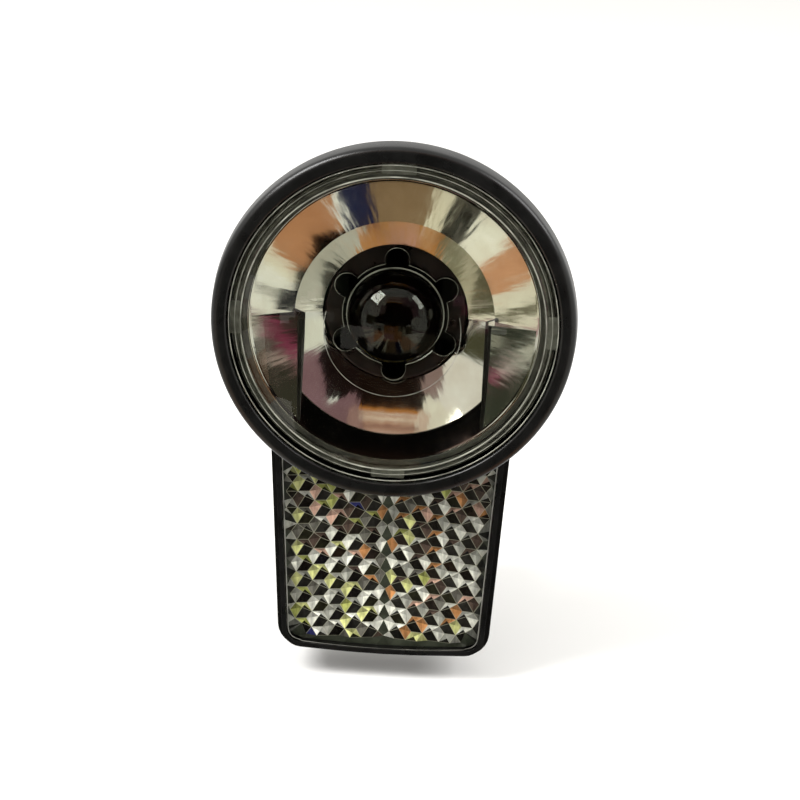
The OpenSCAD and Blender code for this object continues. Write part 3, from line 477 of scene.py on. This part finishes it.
def lower_z(r):
    """Face of the lower half: its collar inside the edge and the bowl outside."""
    return np.where(r < lower_collar[0], collar_z(r, *lower_collar), bowl_z(r))


def facet(side):
    """Raised facet on one side below the axis: radius r and a share v of the angle down to the rib's face,
    t = v acos(rib / r). The section in (r, z) is a shallow paraboloid, closed inside the lower wall."""
    r = np.linspace(rib_x + 0.001, bowl_r, 24)
    v = np.linspace(0, 1, 24)[:, None]
    front = bowl_front + 0.05 + (bowl_r ** 2 - r ** 2) / facet_span
    section_r = np.concatenate([r, r[::-1]])
    section_z = np.concatenate([front, lower_z(r[::-1]) + bowl_wall / 2])
    t = v * np.arccos(rib_x / section_r)
    return np.stack([side * section_r * np.cos(t), section_r * np.sin(t), section_z + 0 * t], -1)


def rib(side):
    """Standing rib: a wall from the lower half up to the rim's plane, as long as the rim allows."""
    x = np.array([rib_x - rib_t, rib_x - rib_t, rib_x, rib_x])
    ends = np.sqrt((bowl_r - 0.2) ** 2 - x ** 2)
    y = np.linspace(0, 1, 40)[:, None] * ends
    foot = lower_z(np.hypot(x, y)) + bowl_wall / 2
    z = np.where(np.array([0, 1, 1, 0], bool), bowl_front, foot)
    return np.stack([side * x + 0 * y, y, z], -1)


for name, shape, finish in (("facet", facet, mirror), ("rib", rib, shadowed)):
    for side, word in ((-1, "left"), (1, "right")):
        grid = shape(side)
        reflector.append(piece(f"reflector_{name}_{word}", grid, ended(grid), finish, 25))
for item in reflector:
    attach(item, "head")
    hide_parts("reflector")

# Dome holder
# Dark brown-black moulded tube in the reflector's neck. It carries the dome lens on its front face and
# hides the light's board behind it; its edges are rounded.
holder_r, holder_bore, holder_front, holder_back = 11.8, 6.8, 8.7, 16.67
# Moulded polycarbonate: brown-black, with soft patches of gloss behind the clear dome.
holder_plastic = shaded("moulded dark brown polycarbonate", values={"IOR": 1.58}, links=lambda tree: {
    "Base Color": blend(tree, "#150d0b", "#2a1a16", mottled(tree, 0.3, 0, 1)),
    "Roughness": mottled(tree, 0.5, 0.25, 0.4)})
holder_line = rounded([(holder_bore, holder_back), (holder_bore, holder_front), (holder_r, holder_front),
                       (holder_r, holder_back)], [0.2, 0.3, 0.5, 0.2], 6)
holder_grid = lathe(holder_line)
holder = piece("holder_tube", holder_grid, quads(*holder_grid.shape[:2], 1, 1), holder_plastic)
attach(holder, "head")
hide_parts("dome_holder")

# Dome lens
# Water-clear acrylic half ball with a flange; six round lobes on the flange are its welding pads.
# It is polished all over, and only its edges show as fine pale lines: painted highlights on thin beads.
# Polished acrylic: water clear, it bends what lies behind, with sharp highlights and a faint wave.
acrylic = shaded("polished clear acrylic", values={
    "Base Color": linear("#fdfdfb"), "Roughness": 0.0, "IOR": 1.49, "Transmission Weight": 1.0},
    links=lambda tree: {"Normal": relief(tree, mottled(tree, 0.2, 0, 1), 0.002)})
dome_r, dome_z, dome_flange_r, dome_flange_t = 8.0, 7.5, 8.9, 1.2
lobe_r, lobe_circle, lobe_count = 2.1, 9.47, 6


def dome_grid(steps=384):
    """Half ball, flange and flat back, row by row round the axis; the flange's edge is the larger of its
    circle and the lobe's circle seen from the axis, c cos d + sqrt(r^2 - (c sin d)^2)."""
    t = np.linspace(0, 2 * math.pi, steps, endpoint=False)[:, None]
    d = (t + math.pi / lobe_count) % (2 * math.pi / lobe_count) - math.pi / lobe_count
    under_root = lobe_r ** 2 - (lobe_circle * np.sin(d)) ** 2
    lobe = lobe_circle * np.cos(d) + np.sqrt(np.maximum(under_root, 0))
    edge = np.maximum(dome_flange_r, np.where(under_root > 0, lobe, 0))
    a = np.linspace(0, math.pi / 2, 40)
    ball_r, ball_z = dome_r * np.sin(a) + 0 * t, dome_z - dome_r * np.cos(a) + 0 * t
    turn = np.linspace(0, math.pi / 2, 6)
    lip = 0.25
    r = np.concatenate([ball_r, edge - lip + lip * np.sin(turn), edge - lip + lip * np.cos(turn), 0 * t], 1)
    z = np.concatenate([ball_z, dome_z + lip - lip * np.cos(turn) + 0 * t,
                        dome_z + dome_flange_t - lip + lip * np.sin(turn) + 0 * t,
                        dome_z + dome_flange_t + 0 * t], 1)
    return np.stack([r * np.sin(t), -r * np.cos(t), z], -1), edge


def thread(r, z, thick, steps=384):
    """Fine round bead along a closed line of radius r at depth z: a circle of radius thick carried round
    the axis."""
    t = np.linspace(0, 2 * math.pi, steps, endpoint=False)[:, None]
    u = np.linspace(0, 2 * math.pi, 6, endpoint=False)
    return np.stack([(r + thick * np.cos(u)) * np.sin(t), -(r + thick * np.cos(u)) * np.cos(t),
                     z + thick * np.sin(u) + 0 * t], -1)


def threads(name, lines, material):
    """One piece of several beads, each given by its radius, depth and thickness."""
    grids = np.stack([thread(*line) for line in lines])
    cells = quads(*grids.shape[1:3], 1, 1)
    faces = np.concatenate([cells + k * grids[0, ..., 0].size for k in range(len(grids))])
    return piece(name, grids.reshape(-1, 3), faces, material)


# Painted edge highlight: pale grey with a fine grain, so that a thin clear edge shows as a pale grey line.
painted_edge_highlight = shaded("frosted acrylic", values={"Roughness": 0.5, "IOR": 1.49}, links=lambda tree: {
    "Base Color": blend(tree, "#5a5952", "#b4b3aa", mottled(tree, 0.25, 0, 1)),
    "Normal": relief(tree, mottled(tree, 8, 0, 1), 0.01)})
grid, flange_edge = dome_grid()
dome = piece("dome_lens_clear", grid, quads(*grid.shape[:2], 1, 0), acrylic, 50)
edges = threads("dome_lens_edges", ((flange_edge - 0.1, dome_z - 0.02, 0.05),
                                    (dome_r + 0.05, dome_z - 0.05, 0.12)), painted_edge_highlight)
for item in (dome, edges):
    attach(item, "head")
    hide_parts("dome_lens")

# Front lens
# Clear acrylic window, domed, with a flat rim that the bezel holds down on the gasket. A fine ring line is
# moulded round its middle; it and the steps of the rim show as thin pale lines, painted highlights on beads.
def clear_skin(name, tint):
    """Clear sheet of even thickness: light goes straight through, and the outer face mirrors by angle."""
    material = bpy.data.materials.new(name)
    material.use_nodes = True
    tree = material.node_tree
    tree.nodes.clear()
    wave = relief(tree, mottled(tree, 0.2, 0, 1), 0.002)
    outer = add(tree, "ShaderNodeMath", {"operation": "SUBTRACT", 0: 1.0},
                {1: add(tree, "ShaderNodeNewGeometry").outputs["Backfacing"]}).outputs[0]
    share = add(tree, "ShaderNodeMath", {"operation": "MULTIPLY"}, {
        0: add(tree, "ShaderNodeFresnel", {"IOR": 1.49}, {"Normal": wave}).outputs[0], 1: outer}).outputs[0]
    through = add(tree, "ShaderNodeBsdfTransparent", {"Color": linear(tint)}).outputs[0]
    shine = add(tree, "ShaderNodeBsdfGlossy", {"Roughness": 0.02}, {"Normal": wave}).outputs[0]
    mix = add(tree, "ShaderNodeMixShader", links={0: share, 1: through, 2: shine}).outputs[0]
    add(tree, "ShaderNodeOutputMaterial", links={"Surface": mix})
    return material


# Polished sheet: almost unseen face on, and a mirror where it turns away.
clear_sheet = clear_skin("polished clear acrylic sheet", "#f7f8f4")
window_r, window_bulge, lens_t, ring_line_r = 24.8, 2.6, 1.6, 11.1
window_ball = (window_r ** 2 + window_bulge ** 2) / (2 * window_bulge)


def window_z(r):
    """Ball-shaped window: z = ball - bulge - sqrt(ball squared - r squared), flush with the rim."""
    return window_ball - window_bulge - np.sqrt(window_ball ** 2 - r ** 2)


front_run = np.linspace(0, window_r, 80)
inner_run = np.linspace(window_r - 0.4, 0, 60)
lens_line = np.concatenate([
    np.stack([front_run, window_z(front_run)], -1),
    rounded([(lens_r - 0.6, 0), (lens_r, 0), (lens_r, lens_t), (window_r + 0.4, lens_t)],
            [0, 0.3, 0.3, 0], 5)[4:],
    np.stack([inner_run, window_z(inner_run) + lens_t], -1)])
lens_grid = lathe(lens_line)
lens = piece("front_lens_clear", lens_grid, quads(*lens_grid.shape[:2], 1, 0), clear_sheet, 50)
lens_lines = threads("front_lens_lines", (
    (window_r + 0.1, 0.5, 0.11), (25.9, 0.9, 0.06), (lens_r - 0.15, 0.5, 0.09)), painted_edge_highlight)
ring_line_t, ring_line_depth = 0.04, 0.3
bead = np.linspace(0, 2 * math.pi, 6, endpoint=False)
ring_line = np.stack([ring_line_r + ring_line_t * np.cos(bead),
                      window_z(ring_line_r) + ring_line_depth + ring_line_t * np.sin(bead)], -1)
ring_grid = lathe(ring_line, 193, math.radians(75), math.radians(210))
lens_ring = piece("front_lens_ring", ring_grid, ended(ring_grid), painted_edge_highlight)
for item in (lens, lens_lines, lens_ring):
    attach(item, "head")
    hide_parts("front_lens")


# Lens tabs
# Four acrylic pads moulded behind the rim, where the lens is keyed into the collar's slots.
# Their faces are left dull by the mould, so they show through the clear rim.
tab_w, tab_in, tab_out, tab_z, tab_t = 5.6, 25.1, 26.75, 1.65, 1.2
# Dull acrylic: a flat mid grey with a fine grain.
dull = shaded("dull acrylic", values={"Roughness": 0.5, "IOR": 1.49}, links=lambda tree: {
    "Base Color": blend(tree, "#4a4944", "#6d6c65", mottled(tree, 0.5, 0, 1)),
    "Normal": relief(tree, mottled(tree, 8, 0, 1), 0.01)})
tab_corners = [(-tab_w / 2, tab_in), (tab_w / 2, tab_in), (tab_w / 2, tab_out), (-tab_w / 2, tab_out)]
tab_outline = rounded(tab_corners, 0.3, 5)
for quarter in range(4):
    turn = quarter * math.pi / 2
    x, r = tab_outline.T
    flat = np.stack([x * math.cos(turn) + r * math.sin(turn), x * math.sin(turn) - r * math.cos(turn)], -1)
    grid = np.stack([np.column_stack([flat, np.full(len(flat), z)]) for z in (tab_z, tab_z + tab_t)])
    ends = [np.arange(len(flat)), np.arange(len(flat)) + len(flat)]
    item = piece(f"lens_tab_{quarter}", grid, [*quads(2, len(flat), 0, 1), *ends], dull)
    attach(item, "head")
    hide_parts("front_lens")

# Reflex plate
# Clear acrylic plate with hexagonal cube-corner prisms moulded on its back, mirrored about the middle.
# A plain border is welded to the tray's seat. The prism faces carry painted reflections,
# painted black wherever a prism lets the light through.
plate_front, plate_t, plate_edge = 7.0, 1.5, 0.25
plate_half_top, plate_half_foot, plate_top, plate_foot = 18.3, 16.7, 30.25, 61.65
plate_arc_r, plate_bow, plate_corner, prism_border = 30.45, 0.9, 2.6, 0.3
prism_side, prism_stretch, prism_step, prism_foot = 1.75, 1.12, 0.3, 1.25


def plate_outline(inset):
    """Plate's outline: an arc round the bezel, leaning sides, round corners and a bowed foot."""
    lean = (plate_half_foot - plate_half_top) / (plate_foot - plate_top)
    foot = plate_foot - inset
    side_foot = foot - plate_bow
    half = plate_half_top + lean * (side_foot - plate_top) - inset
    arc_r = plate_arc_r + inset
    top_y = math.sqrt(arc_r ** 2 - (plate_half_top - inset) ** 2)
    top_half = plate_half_top + lean * (top_y - plate_top) - inset
    end = math.asin(top_half / arc_r)
    t = np.linspace(end, -end, 49)
    arc = np.stack([arc_r * np.sin(t), arc_r * np.cos(t)], -1)
    corner = max(plate_corner - inset, 0.6)
    low = rounded([arc[-1], (-half, side_foot), (half, side_foot), arc[0]], [0, corner, corner, 0], 8)[8:-8]
    sag = (foot - side_foot) * (1 - (low[:, 0] / half) ** 2)
    foot_run = np.linspace(-half + corner, half - corner, 25)[1:-1]
    foot_line = np.stack([foot_run, foot - (foot - side_foot) * (foot_run / half) ** 2], -1)
    low[:, 1] += sag * (np.abs(low[:, 1] - side_foot) < 1e-6)
    step = np.linspace(0, 1, 20)[1:-1, None]
    left_side = arc[-1] + step * (low[0] - arc[-1])
    right_side = low[-1] + step * (arc[0] - low[-1])
    return np.concatenate([arc, left_side, low[:8], foot_line, low[8:], right_side])


def prism_points():
    """Points of a triangular lattice in the right half, mirrored to the left. A point's level is (j - i)
    mod 3, so two triangles that share a side from level 0 to level 2 are one flat face of a cube corner."""
    i, j = (k.ravel() for k in np.meshgrid(np.arange(-40, 41), np.arange(-40, 1), indexing="ij"))
    x = prism_side * prism_stretch * (i + j / 2)
    y = plate_foot - prism_foot + prism_side * math.sqrt(3) / 2 * j
    right, off = x > -1e-6, x > 1e-6
    return (np.concatenate([np.stack([x, y], -1)[right], np.stack([-x, y], -1)[off]]),
            np.concatenate([(j - i)[right], (j - i)[off]]) % 3)


def inside(points, outline):
    """Whether each point lies in a closed outline: an odd count of edges to its right."""
    a, b = outline, np.roll(outline, -1, 0)
    x, y = points[:, :1], points[:, 1:]
    spans = (a[:, 1] > y) != (b[:, 1] > y)
    across = a[:, 0] + (y - a[:, 1]) / np.where(spans, b[:, 1] - a[:, 1], 1) * (b[:, 0] - a[:, 0])
    return (spans & (x < across)).sum(1) % 2 == 1


edge_outline = plate_outline(0)
count = len(edge_outline)
lattice, level = prism_points()
within = inside(lattice, plate_outline(prism_border))
lattice, level = lattice[within], level[within]
flat_points = np.concatenate([edge_outline, lattice])
loop = [(k, (k + 1) % count) for k in range(count)]
back = geometry.delaunay_2d_cdt([Vector(p) for p in flat_points], loop, [], 1, 1e-5)
back_xy = np.array([tuple(p) for p in back[0]])
back_level = np.array([max((level[k - count] for k in ids if k >= count), default=-1) for ids in back[3]])
triangles = np.array(back[2])
order = np.argsort(back_level[triangles], axis=1)
cell_ids = np.take_along_axis(triangles, order, 1)
is_cell = (back_level[cell_ids] == (0, 1, 2)).all(1)
low, side, high = cell_ids[is_cell].T
ridges, ridge = np.unique(np.stack([low, high], -1), axis=0, return_inverse=True)
ridge = ridge.ravel()
centre = len(back_xy) + ridge
apex_shift = np.array([0.25, 0.8])
apex = (back_level == 0) & inside(back_xy, plate_outline(1.2))
away = np.column_stack([np.sign(back_xy[:, 0]), np.ones(len(back_xy))])
seen_xy = back_xy - apex[:, None] * apex_shift * away
points_xy = np.concatenate([seen_xy, seen_xy[ridges].mean(1)])
points_level = np.concatenate([np.maximum(back_level, 0), np.ones(len(ridges))])
split = np.concatenate([np.stack([low, side, centre], -1), np.stack([high, side, centre], -1)])
plain = triangles[~is_cell]
plate_back = plate_front + plate_t
back_points = np.column_stack([points_xy, plate_back + points_level * prism_step])
turn = np.linspace(0, math.pi / 2, 5)
rounds = np.stack([np.column_stack([plate_outline(plate_edge * (1 - s)),
                                    np.full(count, plate_front + plate_edge * (1 - c))])
                   for s, c in zip(np.sin(turn), np.cos(turn))])
first = len(back_points)
ring_faces = quads(len(rounds), count, 0, 1) + first
place_of = {ids[0]: k for k, ids in enumerate(back[3]) if ids and ids[0] < count}
edge_ids = np.array([place_of[k] for k in range(count)])
last_ring = first + (len(rounds) - 1) * count + np.arange(count)
wall_faces = np.stack([last_ring, edge_ids, np.roll(edge_ids, -1), np.roll(last_ring, -1)], -1)
front_face = first + np.arange(count)
plate = piece("reflex_plate_prisms", np.concatenate([back_points, rounds.reshape(-1, 3)]),
              [*split, *plain, *ring_faces, *wall_faces, front_face], clear_sheet, 12)

# Painted reflections, what a prism can send back: colour, chance, and how the chance grows to the left and
# upwards.
painted_reflection_tones = (("#f9f7ef", 6, 0, -2), ("#e2e29a", 3, 2, -1), ("#b9bd6a", 1.5, 1.5, 0),
         ("#b4b3ac", 2.6, 0, -1.5), ("#e0b4a2", 1.5, -1, 1), ("#d0905a", 1.2, -1, 0.6),
         ("#57463f", 1.4, 0, 1.8), ("#6f6c66", 1.4, 0, 0.5), ("#4c50a0", 0.3, 0, 0.2))


def glints():
    """Painted reflection colour of each half face. A face is drawn once from the table, whose chances drift
    to the left and upwards by the table's gains. A face that falls upwards is painted dark, as is the foot
    of one that falls downwards, and the faces are painted darker towards the top of the plate."""
    dice = np.random.default_rng(12)
    middle = points_xy[len(back_xy):]
    base, left, up = np.array([row[1:] for row in painted_reflection_tones]).T
    chance = np.maximum(base - left * middle[:, :1] / 16 + up * (46 - middle[:, 1:]) / 15, 0.05)
    share = np.cumsum(chance, 1) / chance.sum(1, keepdims=True)
    drawn = np.array([linear(row[0]) for row in painted_reflection_tones])[(dice.random((len(middle), 1)) > share).sum(1)]
    fall = (back_xy[low] - back_xy[high])[:, 1]
    outer_end = np.concatenate([low, high])
    flat = np.abs(back_xy[outer_end, 1] - back_xy[np.tile(side, 2), 1]) < 0.1
    lower_end = np.repeat([True, False], len(low))
    fall = np.tile(fall, 2)
    foot = lower_end & flat
    light = np.where(fall > 0.2, np.where(foot, 0.02, np.where(lower_end, 0.95, 0.6)), 0.015)
    upright = np.abs(fall) <= 0.2
    under = back_xy[np.tile(side, 2), 1] > middle[np.tile(ridge, 2), 1]
    light = np.where(upright, np.where(under, 0.95, 0.5), light)
    # Part of the painted reflection: faces are painted darker towards the top of the plate.
    shade = 0.6 + 0.4 * np.clip((middle[np.tile(ridge, 2), 1] - 33) / 8, 0, 1)
    light = light * dice.uniform(0.6, 1.2, len(light)) * shade
    colours = drawn[np.tile(ridge, 2)]
    colours[:, :3] = colours[:, :3] * light[:, None] + np.array(linear("#0d0b09"))[:3]
    return colours


faces_in_plate = len(plate.data.polygons)
colour = plate.data.attributes.new("glint", "FLOAT_COLOR", "FACE")
shades = np.ones((faces_in_plate, 4)) * linear("#1c1814")
shades[:len(split)] = glints()
# Prisms that the plate's edge cuts are painted as small grey glints, apart from the plain strip at the foot.
cut_middle = points_xy[plain].mean(1)
at_edge = (back_level[plain] < 0).any(1) & (cut_middle[:, 1] < plate_foot - 2.4)
cut = at_edge & inside(cut_middle, plate_outline(0.4))
cut_light = np.random.default_rng(5).choice([0.02, 0.14, 0.42], len(plain), p=[0.45, 0.3, 0.25])
shades[len(split):len(split) + len(plain), :3] = cut_light[:, None] * linear("#f0eee4")[:3]
colour.data.foreach_set("color", shades.ravel())
edge_share = plate.data.attributes.new("edge", "FLOAT", "POINT")
edge_values = np.zeros(len(plate.data.vertices))
edge_values[:len(back_xy)] = back_level >= 0
edge_share.data.foreach_set("value", edge_values)


def prism_painted_reflection(tree):
    """Face's painted reflection colour, uneven over its width, with a fine painted highlight line where the
    edge share nears 1.
    """
    plain_tone = add(tree, "ShaderNodeAttribute", {"attribute_name": "glint"}).outputs["Color"]
    tone = add(tree, "ShaderNodeVectorMath", {"operation": "SCALE"},
               {0: plain_tone, "Scale": mottled(tree, 1.3, 0.5, 1.15, (1, 1, 0.4))}).outputs[0]
    near = add(tree, "ShaderNodeAttribute", {"attribute_name": "edge"}).outputs["Fac"]
    limits = {"From Min": 0.9, "From Max": 0.98, "To Min": 0.0, "To Max": 0.3}
    line = add(tree, "ShaderNodeMapRange", limits, {"Value": near}).outputs[0]
    pale = {"data_type": "RGBA", 7: linear("#d6d2bc")}
    return add(tree, "ShaderNodeMix", pale, {0: line, 6: tone}).outputs[2]


# Prism faces painted with reflections: each shows one painted patch of the room, so neighbours differ
# sharply, and painted highlight lines run along the edges.
prism = shaded("prism faces painted with reflections", values={
    "Roughness": 0.25, "IOR": 1.49, "Specular IOR Level": 0.15}, links=lambda tree: {
    "Base Color": prism_painted_reflection(tree)})
# Smooth acrylic with only the black tray behind it: a deep green-grey.
border = shaded("smooth acrylic over black", values={
    "Roughness": 0.3, "IOR": 1.49, "Specular IOR Level": 0.15}, links=lambda tree: {
    "Base Color": blend(tree, "#23251f", "#3d4036", mottled(tree, 0.3, 0, 1))})
plate.data.materials.append(prism)
plate.data.materials.append(border)
plate.data.materials.append(painted_edge_highlight)
indices = np.zeros(faces_in_plate, int)
indices[:len(split)] = 1
indices[len(split):len(split) + len(plain)] = np.where(cut, 1, 2)
# The plate's rounded front edge takes the same pale grey as the painted edge highlight.
indices[len(split) + len(plain):][:len(ring_faces)] = 3
plate.data.polygons.foreach_set("material_index", indices)
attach(plate, "head")
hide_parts("reflex_plate")

# Rear cover, switch, inlet and bracket
# Black ABS cover on three zinc plated screws, with the matt nylon switch in its middle and a rubber grommet
# below it. The bracket is stamped and bent from stainless sheet, and a plated bolt and nut clamp the tongue.
# Moulded nylon: matt black, with a grain of a fifth of a millimetre that kills the highlights.
knob_plastic = shaded("moulded black nylon", values={
    "IOR": 1.53, "Specular IOR Level": 0.4}, links=lambda tree: {
    "Base Color": blend(tree, "#121212", "#1c1c1b", mottled(tree, 0.4, 0, 1)),
    "Roughness": mottled(tree, 0.6, 0.45, 0.6),
    "Normal": relief(tree, mottled(tree, 5, 0, 1), 0.02)})
# Rubber: dull black, with no highlight.
rubber = shaded("moulded black rubber", values={"IOR": 1.52}, links=lambda tree: {
    "Base Color": blend(tree, "#101010", "#1b1b1a", mottled(tree, 0.5, 0, 1)),
    "Roughness": mottled(tree, 0.8, 0.6, 0.8)})
# Zinc plate: cool bright metal with cloudy patches.
zinc = shaded("zinc plated steel", values={"Metallic": 1.0}, links=lambda tree: {
    "Base Color": blend(tree, "#b9bcc0", "#cfd1cf", mottled(tree, 0.4, 0, 1)),
    "Roughness": mottled(tree, 0.7, 0.22, 0.38)})
# Brushed sheet: pale steel with fine lines along the bracket. Real brush lines are finer; these are drawn as
# coarse as an eighth of a millimetre so that they show.
stainless = shaded("brushed stainless steel", values={
    "Metallic": 1.0, "Anisotropic": 0.4}, links=lambda tree: {
    "Base Color": blend(tree, "#b4b2ae", "#c8c6c2", mottled(tree, 0.2, 0, 1)),
    "Roughness": mottled(tree, 4, 0.2, 0.36, (1, 0.05, 0.05)),
    "Normal": relief(tree, mottled(tree, 8, 0, 1, (1, 0.03, 0.03)), 0.004)})
for name, node, edge, material, body, slot in (
        ("rear_cover_moulding", "rear_cover", 0.3, abs_black, "head", "black_abs"),
        ("switch_knob_moulding", "switch_knob", 0.3, knob_plastic, "switch", "knob_plastic"),
        ("grommet_moulding", "cable_grommet", 0.25, rubber, "head", "rubber"),
        ("cover_screw_heads", "cover_screws", 0.12, zinc, "head", "zinc_steel"),
        ("bracket_sheet", "mounting_bracket", 0.3, stainless, "bracket", "stainless"),
        ("pivot_bolt_steel", "pivot_bolt", 0.25, zinc, "bracket", "zinc_steel"),
        ("pivot_nut_steel", "pivot_nut", 0.25, zinc, "bracket", "zinc_steel"),
        ("pivot_washers_steel", "pivot_washers", 0.15, zinc, "bracket", "zinc_steel")):
    item = softened(name, node, edge, material)
    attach(item, body)
    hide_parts(node)

# Inner pieces
# Light source, boards and fixings inside the housing, each seated on its own boss, pin or screw. The housing
# hides them, so they are kept as solids with their own materials.
# Satin aluminium: light grey metal with a broad soft sheen.
aluminium = shaded("satin aluminium", values={"Metallic": 1.0}, links=lambda tree: {
    "Base Color": blend(tree, "#c9cacb", "#dcdddd", mottled(tree, 0.3, 0, 1)),
    "Roughness": mottled(tree, 0.8, 0.3, 0.45)})
# Solder mask over aluminium: dark brown lacquer, which gives the dome its warm depth.
brown_mask = shaded("aluminium core under brown solder mask", values={"IOR": 1.5}, links=lambda tree: {
    "Base Color": blend(tree, "#2a1712", "#40261c", mottled(tree, 1.2, 0, 1)),
    "Roughness": mottled(tree, 0.8, 0.3, 0.45)})
# Bright brass: yellow metal, lightly tarnished.
brass = shaded("bright brass", values={"Metallic": 1.0}, links=lambda tree: {
    "Base Color": blend(tree, "#c79a45", "#dcb562", mottled(tree, 0.5, 0, 1)),
    "Roughness": mottled(tree, 0.8, 0.2, 0.35)})
# Glass laminate: deep green lacquer, half gloss.
laminate = shaded("glass laminate with green solder mask", values={"IOR": 1.5}, links=lambda tree: {
    "Base Color": blend(tree, "#0f3d1f", "#1f5a30", mottled(tree, 1.2, 0, 1)),
    "Roughness": mottled(tree, 0.8, 0.3, 0.45)})
# Phosphor under silicone: a warm yellow square.
phosphor = shaded("yellow phosphor under silicone", values={"IOR": 1.41}, links=lambda tree: {
    "Base Color": blend(tree, "#b5972f", "#d9bf5c", mottled(tree, 1.0, 0, 1)),
    "Roughness": mottled(tree, 1.0, 0.3, 0.45)})
# Moulded epoxy: dull black, as small components are.
epoxy = shaded("moulded black epoxy", values={"IOR": 1.55}, links=lambda tree: {
    "Base Color": blend(tree, "#131313", "#202020", mottled(tree, 0.8, 0, 1)),
    "Roughness": mottled(tree, 1.0, 0.4, 0.55)})
# Lacquered ferrite: grey-brown with a slight shine.
ferrite = shaded("lacquered ferrite", values={"IOR": 1.6}, links=lambda tree: {
    "Base Color": blend(tree, "#2b2725", "#3f3936", mottled(tree, 1.0, 0, 1)),
    "Roughness": mottled(tree, 1.0, 0.35, 0.5)})
for node, material in {
        "cover_gasket": rubber, "knob_seal": rubber, "led_emitter": phosphor, "led_board": brown_mask,
        "heat_sink": aluminium, "optic_screws": zinc, "link_pins": brass, "driver_board": laminate,
        "standlight_capacitor": aluminium, "choke": ferrite, "rectifier_diodes": epoxy, "wire_posts": brass,
        "board_screws": zinc, "knob_clip": zinc, "switch_wiper": brass}.items():
    nodes[node].data.materials.clear()
    nodes[node].data.materials.append(material)
